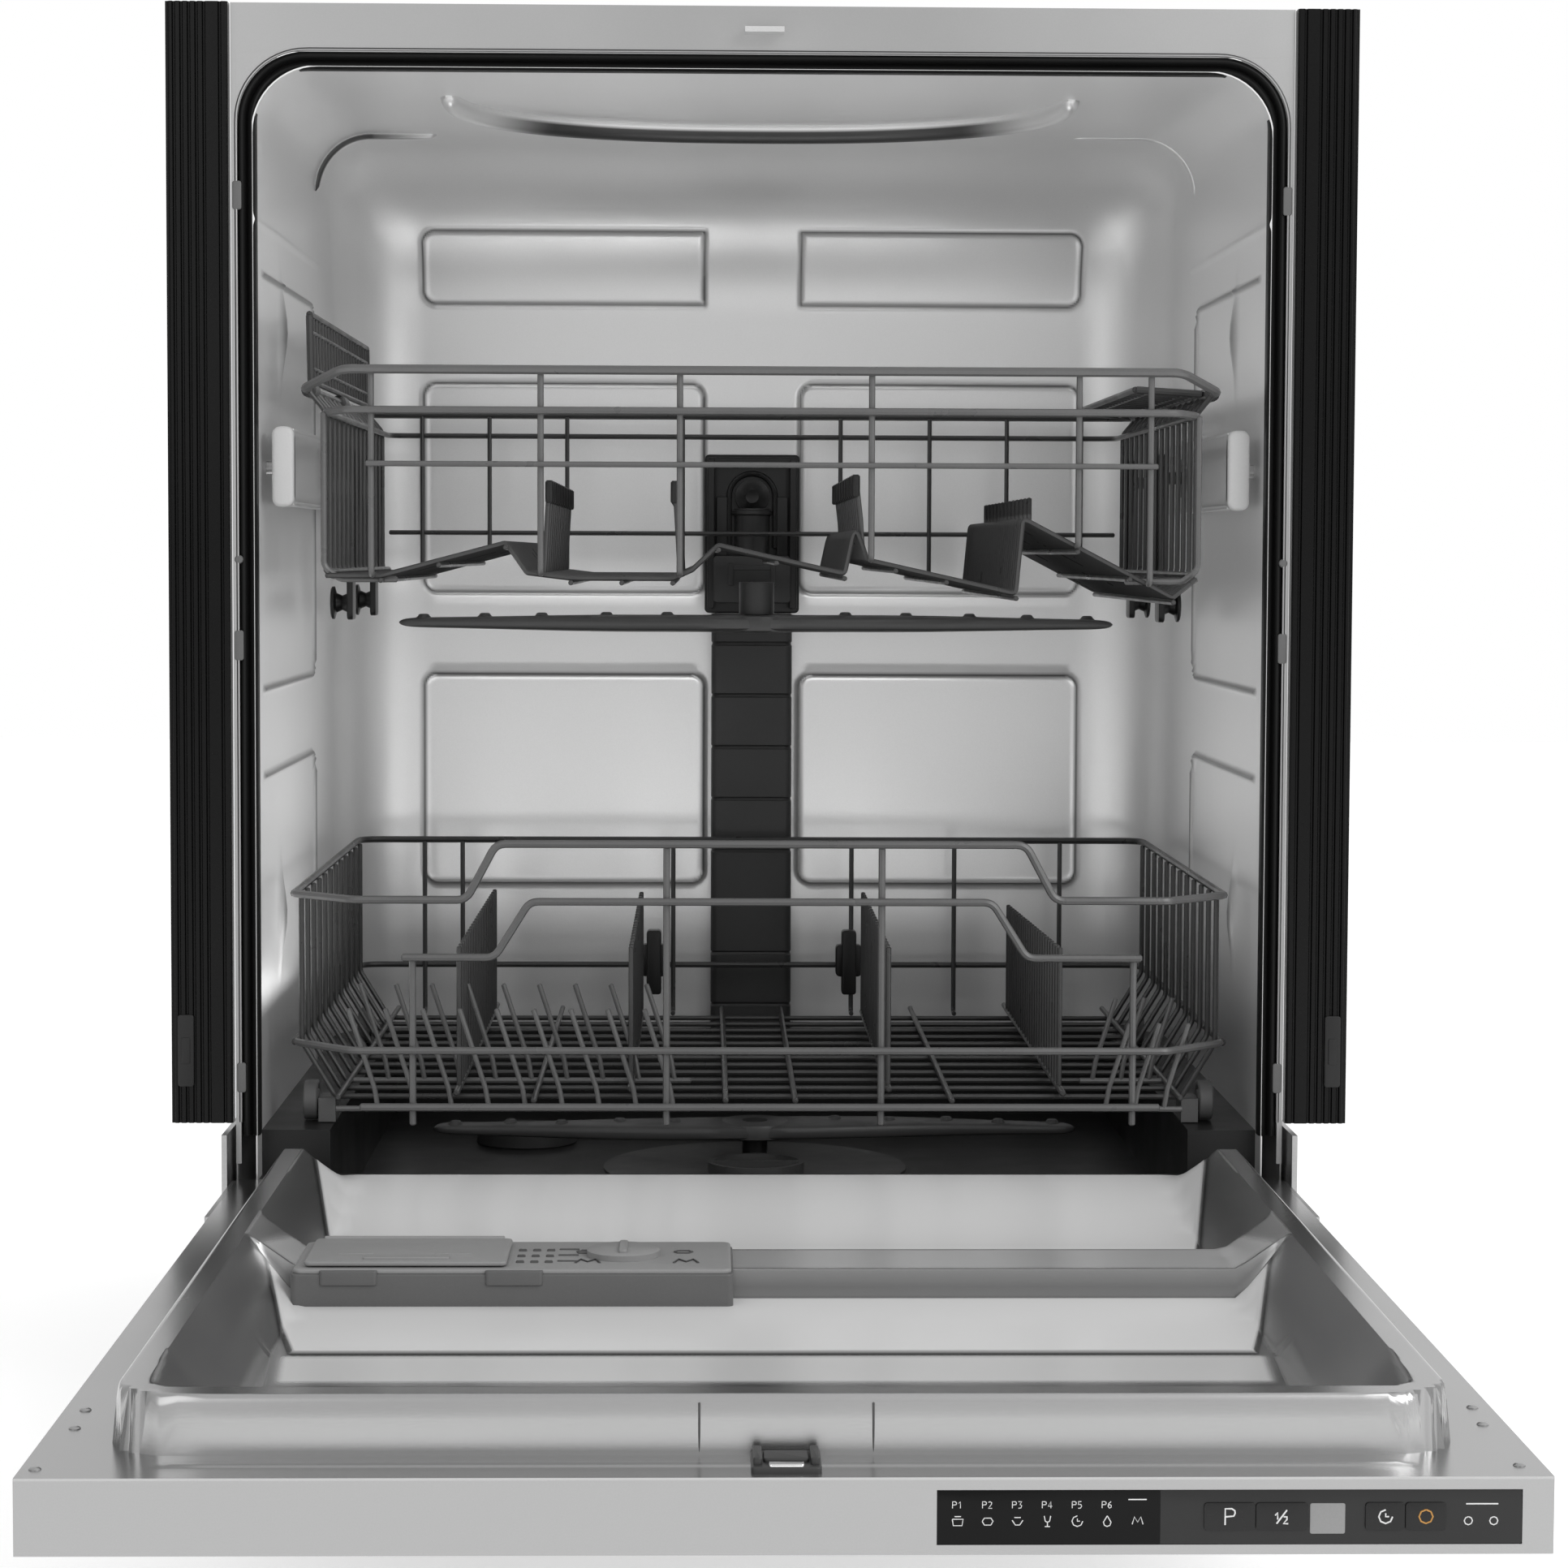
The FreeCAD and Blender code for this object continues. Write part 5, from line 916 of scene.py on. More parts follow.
# ---------------------------------------------------------------- water feed
@dataclass
class WaterFeed:
    """Duct up the back wall, its docking port and the two spray arms."""

    half: float = 28.0

    def duct(self) -> None:
        """Ribbed duct: its front face steps in and out as it goes up."""
        low, high = node_span("rear_duct")
        zs = places(low[2], high[2] - 0.5, 6, tuple(np.arange(low[2] + 18, high[2], 36.0)),
                    1.6, 0.8)
        rib = 1.1 * (1 - smooth(np.abs((zs - low[2]) % 36.0 - 18), 0.4, 1.6))
        depth = high[1] - low[1] - 0.8
        line = outline((-self.half, self.half), (0, depth), 5, 6)
        rings = np.broadcast_to(line, (len(zs),) + line.shape).copy()
        keep = smooth(rings[..., 1], depth * 0.6, 0)
        y = low[1] + rings[..., 1] + keep * rib[:, None] + 0.8
        x = rings[..., 0] * (1 - 0.02 * rib[:, None])
        z = np.broadcast_to(zs[:, None], y.shape)
        shape = Shape()
        shape.loft(np.stack([x, y, z], axis=-1))
        shape.piece("water_duct", Look.DARK, "cabinet", ("rear_duct",))

    def dock(self) -> None:
        """Docking port: plate, arch, boss, latches and the round valve seat."""
        low, high = node_span("spray_dock")
        y = low[1]
        far = high[1]
        plate = Shape()
        plate.block((low[0] + 0.2, y + 8, low[2] + 0.2), (high[0] - 0.2, far, high[2]), 3,
                    1, "y")
        plate.block((-31, y + 1, 470), (-26, y + 9, 574), 1.6, 0.8, "y")
        plate.block((26, y + 1, 470), (31, y + 9, 574), 1.6, 0.8, "y")
        plate.block((-31, y + 2, 569), (31, y + 9, 575), 1.6, 0.8, "y")
        plate.block((-25, y + 4, 505), (-17, y + 9, 548), 1.6, 0.8, "y")
        plate.block((17, y + 4, 505), (25, y + 9, 548), 1.6, 0.8, "y")
        angle = np.linspace(0, math.pi, 24)
        arc = np.stack([16 * np.cos(angle), np.full(24, y + 6.0), 548 + 16 * np.sin(angle)],
                       axis=1)
        ends = np.array([[16, y + 6.0, 512]]), np.array([[-16, y + 6.0, 512]])
        plate.tube(np.concatenate([ends[0], arc, ends[1]]), 3.6, 0)
        plate.lathe([(0.6, 3.4), (0.2, 4.6), (1.2, 6), (3, 9.5), (3.6, 11.8), (9, 12)],
                    (0, y, 548), "y")
        plate.piece("dock_plate", Look.BLACK, "cabinet", ("spray_dock",))
        port = Shape()
        port.lathe([(-26, 11.4), (-24.4, 12.2), (0, 12.6), (1.2, 14.2), (3.4, 14.2),
                    (4.2, 12.8), (5, 12.6)], (0, y + 9.5, 534.6), "z")
        port.block((-27, y + 0.6, 474), (27, y + 8.4, 507), 3, 1, "y")
        port.block((-13, y + 0.2, 497), (13, y + 5, 500.4), 1, 0.5, "y")
        for side in SIDES:
            xs = sorted((side * 12.5, side * 16.5))
            port.block((xs[0], y + 0.1, 486), (xs[1], y + 4, 502), 1, 0.5, "y")
        port.piece("dock_port", Look.DARK, "cabinet")

    def arm(self, node: str, body: str, half: float, look: Look) -> None:
        """Spray arm: a lens section that narrows to its tips, with jets along the top.

        Half width and thickness fall from the middle to the tips by smooth curves, and
        the tips close in a rounded end.
        """
        low, high = node_span(node)
        mid_y = (low[1] + high[1]) / 2
        base, top = low[2] + 0.1, high[2] - 0.2
        s = np.sin(np.linspace(-math.pi / 2, math.pi / 2, 61))
        ends = np.sqrt(np.clip(1 - np.abs(s) ** 40, 0.02, 1))
        wide = (10 + 13 * (1 - smooth(np.abs(s), 0.05, 0.85))) * ends
        thick = (top - base) / 2 * (0.6 + 0.4 * (1 - smooth(np.abs(s), 0.35, 1))) * ends
        angle = np.linspace(0, 2 * math.pi, 28, endpoint=False)
        sect_y = np.sign(np.cos(angle)) * np.abs(np.cos(angle)) ** 0.6
        sect_z = np.sign(np.sin(angle)) * np.abs(np.sin(angle)) ** 0.45
        sweep = 5.5 * np.sin(s * math.pi)
        ring = np.stack([
            np.broadcast_to((s * half)[:, None], (61, 28)),
            mid_y + sweep[:, None] + wide[:, None] * sect_y[None],
            (base + top) / 2 + thick[:, None] * sect_z[None]], axis=-1)
        shape = Shape()
        shape.loft(ring)
        hub = top - base
        shape.lathe([(0, 20), (1.2, 23.4), (hub * 0.7, 24), (hub - 0.8, 23), (hub, 21)],
                    (0, mid_y, base), "z", 36)
        for k, spot in enumerate((-0.93, -0.76, -0.6, -0.42, -0.25, 0.25, 0.42, 0.6, 0.76,
                                  0.93)):
            y = mid_y + 5.5 * math.sin(spot * math.pi) + (2.5 if k % 2 else -2.5)
            crown = top - 1.0 - 2.2 * abs(spot) ** 2
            shape.lathe([(-2, 5.2), (0.6, 5), (1.6, 3.8), (2.6, 3.2), (3, 2.2)],
                        (spot * half, y, crown), "z", 14)
        shape.piece(node + "_body", look, body, (node,))

    def build(self) -> None:
        """Makes the duct, the dock and both arms."""
        self.duct()
        self.dock()
        self.arm("upper_spray_arm", "upper_spray_arm", 225, Look.ARM)
        self.arm("lower_spray_arm", "lower_spray_arm", 204, Look.ARM)
        dress({"spray_feed_pipe": Look.DARK})


# ---------------------------------------------------------------- rails
@dataclass
class Rails:
    """Telescopic rails of the upper rack, their caps and rollers."""

    inner: float = 268.0
    outer: float = 280.0
    low: float = 535.0
    high: float = 579.0

    def channels(self) -> None:
        """C-section channels: a ribbed web with two rounded flanges."""
        low, high = node_span("rail_channels")
        shape = Shape()
        z = [self.low, self.low + 1.4, self.low + 2.6, self.low + 9, self.low + 10.2,
             self.high - 10.2, self.high - 9, self.high - 2.6, self.high - 1.4, self.high]
        deep = [3.2, 0.6, 0.2, 0.2, 1.2, 1.2, 0.2, 0.2, 0.6, 3.2]
        for side in SIDES:
            inner = np.stack([side * (self.inner + np.array(deep)), np.array(z)], axis=1)
            outer = inner[::-1] + np.array([side * 1.0, 0.0])
            ring = np.concatenate([inner, outer])
            ys = np.array([low[1], high[1]])
            rings = np.stack([np.broadcast_to(ring[None, :, 0], (2, len(ring))),
                              np.broadcast_to(ys[:, None], (2, len(ring))),
                              np.broadcast_to(ring[None, :, 1], (2, len(ring)))], axis=-1)
            shape.loft(rings)
            for edge in (self.low + 1.2, self.high - 1.2):
                shape.block((min(side * self.inner, side * self.outer) + 0.3, low[1],
                             edge - 1.1),
                            (max(side * self.inner, side * self.outer) - 0.3, high[1],
                             edge + 1.1), 0.8, 0.4)
        shape.piece("rail_profiles", Look.TUB, "rails", ("rail_channels",))

    def caps(self) -> None:
        """Rounded pale caps on the rail ends."""
        low, high = node_span("rail_end_caps")
        shape = Shape()
        for side in SIDES:
            xs = sorted((side * (self.inner - 0.4), side * (self.outer + 0.2)))
            shape.block((xs[0], low[1], self.low - 1), (xs[1], low[1] + 9, self.high + 1),
                        4.6, 2.2, "y")
            shape.block((xs[0], high[1] - 7, self.low), (xs[1], high[1], self.high),
                        4.6, 1.5, "y")
        shape.piece("rail_caps", Look.PALE, "rails", ("rail_end_caps",))

    def rollers(self) -> None:
        """Rollers that carry the rails and the rack, each a grooved wheel."""
        for node in ("rail_rollers_front", "rail_rollers_rear", "upper_rollers_front",
                     "upper_rollers_rear"):
            low, high = node_span(node)
            shape = Shape()
            radius = (high[2] - low[2]) / 2
            middle = (low + high) / 2
            for side in SIDES:
                x_low, x_high = ((high[0] - 4.5, high[0]) if side > 0
                                 else (low[0], low[0] + 4.5))
                wide = x_high - x_low
                shape.lathe([(0, 4.4), (0.2, radius * 0.7), (0.2, radius - 0.9),
                             (0.8, radius), (wide - 0.8, radius), (wide - 0.2, radius - 0.9),
                             (wide - 0.2, radius * 0.7), (wide, 4.4)],
                            (x_low, middle[1], middle[2]), "x", 32)
            shape.piece(node + "_wheels", Look.BLACK, node, (node,))

    def build(self) -> None:
        """Makes the rails and rollers."""
        self.channels()
        self.caps()
        self.rollers()


# ---------------------------------------------------------------- upper rack
@dataclass
class UpperRack:
    """Wire basket that slides on the rails, with its cup shelves and hangers."""

    half: float = 249.0
    rail: float = 262.0
    front: float = 6.0
    back: float = 445.0
    low: float = 495.0
    pitch: float = 27.0
    hanger_spots: tuple[float, float] = (240.0, 400.0)
    wave: tuple[tuple[float, float], ...] = (
        (-249, 495), (-217, 495), (-146, 514), (-134, 497), (-109, 494), (-51, 494),
        (-40, 499), (-25, 513), (47, 497), (53, 525), (60, 505), (145, 486), (149, 529),
        (235, 484), (249, 495))

    def front_wires(self) -> None:
        """Front: the rim, two rails below it and the uprights."""
        f, turn = self.front, self.front + 34
        shape = Shape()
        flat = self.half - 11
        shape.tube([(-self.rail, turn + 14, 602), (-self.rail, turn - 6, 602),
                    (-flat, f, 611.7), (flat, f, 611.7), (self.rail, turn - 6, 602),
                    (self.rail, turn + 14, 602)], 5.3, 14)
        shape.tube([(-self.half, turn, 588), (-self.half, f + 18, 588), (-flat + 2, f, 588.8),
                    (flat - 2, f, 588.8), (self.half, f + 18, 588), (self.half, turn, 588)],
                   4.4, 12)
        shape.tube([(-225, f, 558.5), (225, f, 558.5)], 3.2)
        for x in (-222, -126, -47, 62, 180, 221):
            low = float(np.interp(x, *zip(*self.wave))) + 0.6
            shape.tube([(x, f + 14, low), (x, f + 3.6, low), (x, f + 3.6, 610.5)], 3.6, 5)
        for side in SIDES:
            shape.tube([(side * 250, f + 16, 588), (side * 250, f + 16, 500),
                        (side * 241, f + 16, 493), (side * 208, f + 16, 493)], 3.6, 7)
        shape.piece("upper_basket_front", Look.WIRE, "upper_rack", ("upper_rack_basket",))

    def rear_wires(self) -> None:
        """Back and sides: rails and many uprights, in the copy of the wire finish that paints
        shade.
        """
        b, turn = self.back - 2, self.front + 34
        shape = Shape()
        shape.tube([(-self.rail, turn, 602), (-self.rail, b, 602), (self.rail, b, 602),
                    (self.rail, turn, 602)], 4.6, 16)
        shape.tube([(-self.half, turn, 588), (-self.half, b, 588), (self.half, b, 588),
                    (self.half, turn, 588)], 3.6, 14)
        shape.tube([(-self.half, b, 522), (self.half, b, 522)], 3.2)
        for x in (-226, -180, -127, -48, 60, 121, 174, 225):
            low = float(np.interp(x, *zip(*self.wave)))
            shape.tube([(x, b - 14, low), (x, b - 3, low), (x, b - 3, 601)], 3.0, 5)
        for side in SIDES:
            shape.tube([(side * self.half, turn, self.low + 2),
                        (side * self.half, b - 4, self.low + 2)], 3.6)
            for y in np.arange(turn + 8, b - 8, self.pitch):
                shape.tube([(side * (self.half - 14), y, self.low - 1),
                            (side * (self.half + 3), y, self.low - 1),
                            (side * (self.half + 3), y, 590), (side * self.rail, y, 602)],
                           3.0, 7)
        shape.piece("upper_basket_sides", Look.WIRE_SHADED, "upper_rack")

    def floor(self) -> None:
        """Floor: wires bent in waves, long wires at the bends and rows of tines."""
        bent = Shape()
        for y in np.arange(self.front + 12, self.back - 6, self.pitch / 2):
            bent.tube([(x, y, z) for x, z in self.wave], 3.0, 2.5, 6)
        bent.piece("upper_floor_waves", Look.WIRE_SHADED, "upper_rack")
        long = Shape()
        y_low, y_high = self.front + 5, self.back - 6
        for x in (-217, -184, -146, -109, -80, -51, -25, 8, 47, 76, 105, 145, 180, 210,
                  235):
            z = float(np.interp(x, *zip(*self.wave))) - 2.6
            long.tube([(x, y_low, z), (x, y_high, z)], 3.0)
        for x, top, lean in ((-125, 549, 3), (-47, 549, -3), (58, 553, -4), (154, 531, 0)):
            root = float(np.interp(x, *zip(*self.wave)))
            for y in np.arange(35, 370, self.pitch):
                long.tube([(x, y, root), (x + lean * 0.3, y, root + 18), (x + lean, y, top)],
                          3.0, 6)
        long.piece("upper_floor_tines", Look.WIRE_SHADED, "upper_rack")
        caps = Shape()
        for x, top in ((-122, 549), (-50, 549), (54, 553)):
            for y in np.arange(35, 370, self.pitch):
                caps.lathe([(-12, 1.9), (-11, 2.5), (0, 2.5), (1, 1.6)], (x, y, top), "z", 10)
        caps.piece("upper_tine_tips", Look.BLACK, "upper_rack")

    def hangers(self) -> None:
        """Side brackets, their pins and their lower spools."""
        shape = Shape()
        for side in SIDES:
            for spot in self.hanger_spots:
                x_in, x_out = side * 253.6, side * 257.4
                xs = sorted((x_in, x_out))
                shape.block((xs[0], spot - 11, 466), (xs[1], spot + 11, 572), 4, 0.8, "x")
                pin = sorted((side * 256, side * 279))
                shape.lathe([(0, 3.4), (0.4, 3.9), (pin[1] - pin[0] - 0.4, 3.9),
                             (pin[1] - pin[0], 3.4)], (pin[0], spot, 557), "x", 16)
                reel = sorted((side * 254, side * 268))
                flange = [(0, 9.2), (0.7, 10.3), (2.2, 10.3), (3.4, 6.2), (7, 4.6),
                          (10.6, 6.2), (11.8, 10.3), (13.3, 10.3), (14, 9.2)]
                shape.lathe(flange, (reel[0], spot, 476.5), "x", 24)
        shape.piece("rack_hangers", Look.BLACK, "upper_rack", ("roller_hangers",))

    def shelf(self, side: float, folded_up: bool) -> None:
        """Slotted cup shelf: a comb plate with a barrel that clips on the side rail.

        Args:
            side: -1 on the left and 1 on the right.
            folded_up: Whether it stands up instead of lying over the basket.
        """
        name = "cup_shelf_left" if side < 0 else "cup_shelf_right"
        shape = Shape()
        rail_x, rail_z = side * self.rail, 602.0
        ys = (62.0, 425.0)

        def at(out: float, y: float) -> tuple[float, float, float]:
            """Point at a distance out from the rail, whichever way the shelf lies."""
            if folded_up:
                return rail_x - side * (0.6 - 0.02 * out), y, rail_z + out
            return rail_x - side * out, y, rail_z + 0.06 * out

        for y in (ys[0] + 7, (ys[0] + ys[1]) / 2, ys[1] - 7):
            shape.lathe([(-13, 3.4), (-12.4, 4.4), (12.4, 4.4), (13, 3.4)],
                        (rail_x, y, rail_z), "y", 18)
        for out, thick in ((5.2, 3.4), (13, 2.6), (34, 2.6), (44, 3.8)):
            shape.tube([at(out, ys[0] + 1), at(out, ys[1] - 1)], thick)
        for y in np.arange(ys[0] + 2, ys[1], 17.1):
            shape.tube([at(5, y), at(43.5, y)], 2.6, 0, 6)
        for y in (ys[0] + 2, ys[1] - 3):
            shape.tube([at(4.4, y), at(44, y)], 4.2, 0)
        shape.piece(name + "_lattice", Look.DARK, name, (name,))

    def build(self) -> None:
        """Makes the basket, the hangers and the shelves."""
        self.front_wires()
        self.rear_wires()
        self.floor()
        self.hangers()
        self.shelf(-1, True)
        self.shelf(1, False)


# ---------------------------------------------------------------- lower rack
@dataclass
class LowerRack:
    """Wire basket on wheels, with a raised grip, tine rows and plate tines."""

    half: float = 270.0
    front: float = 3.0
    back: float = 448.0
    rim: float = 311.0
    grip: float = 343.0
    low: float = 192.0
    pitch: float = 33.0

    def front_wires(self) -> None:
        """Front: rim with the raised grip, the hat-shaped wire and three rails."""
        f, turn, flat = self.front, self.front + 37, self.half - 37
        shape = Shape()
        shape.tube([(-self.half, turn + 30, self.rim), (-self.half, turn, self.rim),
                    (-flat, f, self.rim), (-168, f, self.rim), (-151, f, self.grip),
                    (151, f, self.grip), (168, f, self.rim), (flat, f, self.rim),
                    (self.half, turn, self.rim), (self.half, turn + 30, self.rim)],
                   4.6, 9)
        shape.tube([(-205, f, 278), (-152, f, 278), (-132, f, 310), (132, f, 310),
                    (152, f, 278), (218, f, 278)], 4.4, 9)
        for z in (224.5, self.low):
            shape.tube([(-self.half + 1, turn + 20, z), (-self.half + 1, turn, z),
                        (-flat, f, z), (flat, f, z), (self.half - 1, turn, z),
                        (self.half - 1, turn + 20, z)] if z > 200 else
                       [(-flat + 4, f, z), (flat - 4, f, z)], 4.4, 10)
        for x, top in ((-199, 278), (-54, 342), (69, 342), (213.5, 278)):
            shape.tube([(x, f + 3.8, 181), (x, f + 3.8, top - 1)], 4.0)
        shape.piece("lower_basket_front", Look.WIRE, "lower_rack", ("lower_rack_basket",))

    def frame_wires(self) -> None:
        """Sides and back: rails, and cross wires bent in a U under the floor."""
        b, turn = self.back - 2, self.front + 37
        shape = Shape()
        for z, thick in ((self.rim, 4.4), (224.5, 4.0)):
            shape.tube([(-self.half, turn, z), (-self.half, b, z), (self.half, b, z),
                        (self.half, turn, z)], thick, 16)
        for y in np.arange(turn + 6, b - 6, self.pitch):
            side = self.half - 3.6
            shape.tube([(-side, y, self.rim), (-side, y, 224), (-247, y, self.low),
                        (-243, y, self.low)], 3.2, 8)
            shape.tube([(side, y, self.rim), (side, y, 224), (247, y, self.low),
                        (243, y, self.low)], 3.2, 8)
            shape.tube([(-244, y, self.low), (244, y, self.low)], 3.2)
        for x in (-225, -199, -54, 69, 140, 213):
            shape.tube([(x, b - 12, self.low), (x, b - 3.4, self.low), (x, b - 3.4, 310)],
                       3.2, 5)
        for x in (-243, -130, -20, 20, 110, 243):
            start = self.front + (16 if abs(x) > 200 else 4)
            shape.tube([(x, start, self.low + 3), (x, b - 4, self.low + 3)], 3.4)
        shape.piece("lower_basket_frame", Look.WIRE_SHADED, "lower_rack")

    def tines(self) -> None:
        """Fixed rows at the sides, and the plate tines that lean across the front."""
        shape = Shape()
        for side in SIDES:
            x = side * 175
            shape.tube([(x, 20, 197.5), (x, 440, 197.5)], 3.8)
            for k, y in enumerate(np.arange(45, 420, 16.5)):
                shape.tube([(x, y, 197), (x, y, 280 - (0.45 * k if side > 0 else 0))], 3.0)
        shape.piece("fixed_tines", Look.WIRE_SHADED, "lower_rack")
        plates = Shape()
        for y, z in ((24, 186), (97, 192)):
            for x in np.arange(-50, -240, -21.3):
                plates.tube([(x, y, z + 2), (x - 2, y, z + 14), (x - 17, y, z + 60)], 3.0, 8)
            plates.tube([(-245, y, z + 2), (-40, y, z + 2)], 3.4)
            for x in (200, 217, 234):
                plates.tube([(x, y, z + 2), (x + 2, y, z + 14), (x + 14, y, z + 52)], 3.0, 8)
            plates.tube([(192, y, z + 2), (245, y, z + 2)], 3.4)
        plates.piece("plate_tines", Look.WIRE, "lower_rack")

    def folding(self, side: float) -> None:
        """Folding tine row on its rod, with the black clips that hold it."""
        name = "fold_tines_left" if side < 0 else "fold_tines_right"
        x = side * 75
        shape = Shape()
        shape.tube([(x, 33, 198), (x, 400, 198)], 3.8)
        for y in np.arange(45, 400, 16.5):
            shape.tube([(x, y, 198), (x, y, 280)], 3.0)
        shape.piece(name + "_row", Look.WIRE_SHADED, name, (name,))
        clips = Shape()
        xs = sorted((side * 58, side * 76))
        clips.block((xs[0], 430, 218), (xs[1], 441, 240), 3, 1, "y")
        clips.block((xs[0] + 4, 426, 206), (xs[1] - 4, 440, 250), 2, 1, "y")
        clips.piece(name + "_clip", Look.BLACK, "lower_rack")

    def wheels(self) -> None:
        """Wheels with a hub, a dish and a rounded tread."""
        for node in ("lower_wheels_front", "lower_wheels_rear"):
            low, high = node_span(node)
            radius, middle = (high[2] - low[2]) / 2, (low + high) / 2
            shape = Shape()
            for side in SIDES:
                start = high[0] - 9.5 if side > 0 else low[0]
                shape.lathe([(0, 3.3), (0.4, 6), (2, 6.6), (2, 8.6), (0.6, 9.4),
                             (0.6, radius - 0.8), (1.4, radius), (8.1, radius),
                             (8.9, radius - 0.8), (8.9, 9.4), (7.5, 8.6), (7.5, 6.6),
                             (9.1, 6), (9.5, 3.3)], (start, middle[1], middle[2]), "x", 30)
            shape.piece(node + "_discs", Look.GREY, node, (node,))

    def build(self) -> None:
        """Makes the basket, the tine rows and the wheels."""
        self.front_wires()
        self.frame_wires()
        self.tines()
        self.folding(-1)
        self.folding(1)
        self.wheels()
        dress({"wheel_holders": Look.GREY})


# ---------------------------------------------------------------- door
@dataclass
class Door:
    """Open door: steel outer panel, pressed liner, its fittings and the latch."""

    plane: float = 152.0
    rim: float = 176.0
    rim_half: float = 269.0
    rim_end: float = 648.5
    floor_z: float = 141.0

    def pad_edge(self, d: Array) -> Array:
        """Half width of the floor's flat pads at a distance ahead of the front plane."""
        return np.interp(d, (0, 40, 190, 300, 421, 640), (252, 251, 226, 247, 222, 205))

    def pads(self, x: Array, d: Array) -> Array:
        """Signed distance to the nearer of the two flat pads, trapezoids on the floor."""
        side = np.abs(x) - self.pad_edge(d)
        far = np.maximum(np.maximum(side, d - 188), 8 - d)
        near = np.maximum(np.maximum(side, d - 424), 303 - d)
        return np.minimum(far, near)

    def liner_height(self, x: Array, d: Array) -> Array:
        """Height of the liner over its outer flange.

        A rounded rim stands on the flange. Inside it a facet falls to the floor, which
        ramps down from the hinge. A cross bar and two flat pads stand on the floor.

        Args:
            x: Positions across.
            d: Distances ahead of the front plane.

        Returns:
            Heights, in millimetres.
        """
        edge = box_distance(x, d, (-self.rim_half, self.rim_half), (-200, self.rim_end), 30)
        inside = -edge
        rise = smooth(d, 2, 46)
        near = smooth(d, 560, 632)
        top = self.plane + (self.rim - self.plane) * rise
        wall = self.plane + (top - self.plane) * np.sqrt(
            np.clip(1 - (1 - np.clip(inside / 2.6, 0, 1)) ** 2, 0, 1))
        floor = self.floor_z + 11 * (1 - smooth(d, 0, 165)) + 2.0
        floor = floor + 1.6 * smooth(-self.pads(x, d), 0, 2.2)
        bar = np.minimum(smooth(d, 238, 246), 1 - smooth(d, 299.2, 301))
        floor = floor + (158 - floor) * bar
        start = 13 + 3 * near
        fall = np.clip((inside - start) / (26 - 2 * near), 0, 1)
        inner = wall + (floor - wall) * fall
        flange = self.plane + bead(np.hypot(np.maximum(np.abs(x) - 240, 0), d - 666), 4.0,
                                   1.4) * (d > 640)
        return np.where(inside <= 0, flange, np.where(inside < start, wall, inner))

    def liner(self) -> None:
        """Pressed liner as one sheet, closer spaced along its edges."""
        low, high = node_span("door_liner")
        half = min(-low[0], high[0])
        marks = (-269, -256, -230, 230, 256, 269)
        xs = places(-half, half, 5.6, marks, 5, 1.0)
        ds = places(-high[1], -low[1], 4.4, (9, 188, 240, 301, 424, 606, 632, 648, 666), 4,
                    0.8)
        u, d = np.meshgrid(xs, ds, indexing="ij")
        edge = self.pad_edge(d)
        x = np.sign(u) * np.where(
            np.abs(u) < 230, np.abs(u) * edge / 230,
            np.where(np.abs(u) < 255, edge + (np.abs(u) - 230) * (255 - edge) / 25,
                     np.abs(u)))
        z = self.liner_height(x, d)
        skin = np.stack([x, -d, z], axis=-1)
        pads = self.pads(x, d)
        # Painted light on the flat pads, with painted shade in a dark line round their edges.
        tone = smooth(-pads, 1.2, 2.6) - bead(pads, 1.2, 0.95)
        within = smooth(-np.abs(x), -edge - 6, -edge)
        # Painted light across the cross bar and on a strip beyond the second pad, with
        # painted shade along the bar's two edges.
        tone += within * (0.5 * smooth(d, 243, 247) * (1 - smooth(d, 296, 299))
                          + 0.8 * smooth(d, 426, 430) * (1 - smooth(d, 478, 484))
                          - bead(d - 240, 2.2, 0.9) - bead(d - 300.4, 0.9, 0.5))
        shape = Shape()
        shape.shell(skin, skin - [0, 0, 1.0], tone)
        shape.piece("liner_sheet", Look.DOOR, "door", ("door_liner",), 50)

    def fittings(self) -> None:
        """Screws along the flange, marks on the rim wall, and the latch."""
        screws = Shape()
        for x, d in ((-292, 670), (-288, 603), (-289, 571), (288, 667), (288, 599),
                     (290, 569)):
            screws.lathe([(-1, 2.5), (0.3, 2.5), (0.8, 1.9), (1.0, 1.0)],
                         (x, -d, self.plane), "z", 16)
        screws.piece("flange_screws", Look.SPRING, "door")
        marks = Shape()
        for x in (-34, 35):
            y = 0.2 - self.rim_end
            marks.tube([(x, y, self.plane + 1), (x, y, self.rim - 3)], 0.9)
        marks.piece("rim_marks", Look.ARM, "door")
        low, high = node_span("latch_catch")
        latch = Shape()
        latch.block((low[0] + 0.2, low[1] + 0.2, self.plane - 6),
                    (high[0] - 0.2, high[1] - 0.2, self.plane + 2.4), 2, 0.8)
        latch.block((-9, low[1] + 8, self.plane), (9, high[1] - 6, self.plane + 4), 1.5, 0.8)
        for side in SIDES:
            xs = sorted((side * 9.5, side * 13))
            latch.block((xs[0], low[1] + 4, self.plane), (xs[1], high[1] - 3,
                                                          self.plane + 5.2), 1.2, 0.6)
        latch.piece("latch_housing", Look.DARK, "door", ("latch_catch",))
        tongue = Shape()
        tongue.block((-7, low[1] + 1, self.plane + 1.5), (7, low[1] + 7, self.plane + 3.4),
                     1.2, 0.5)
        tongue.piece("latch_tongue", Look.BRIGHT, "door")

    def build(self) -> None:
        """Makes the liner and its fittings, and dresses the panel."""
        self.liner()
        self.fittings()
        dress({"door_outer_panel": Look.FACE, "control_fascia": Look.FACE})


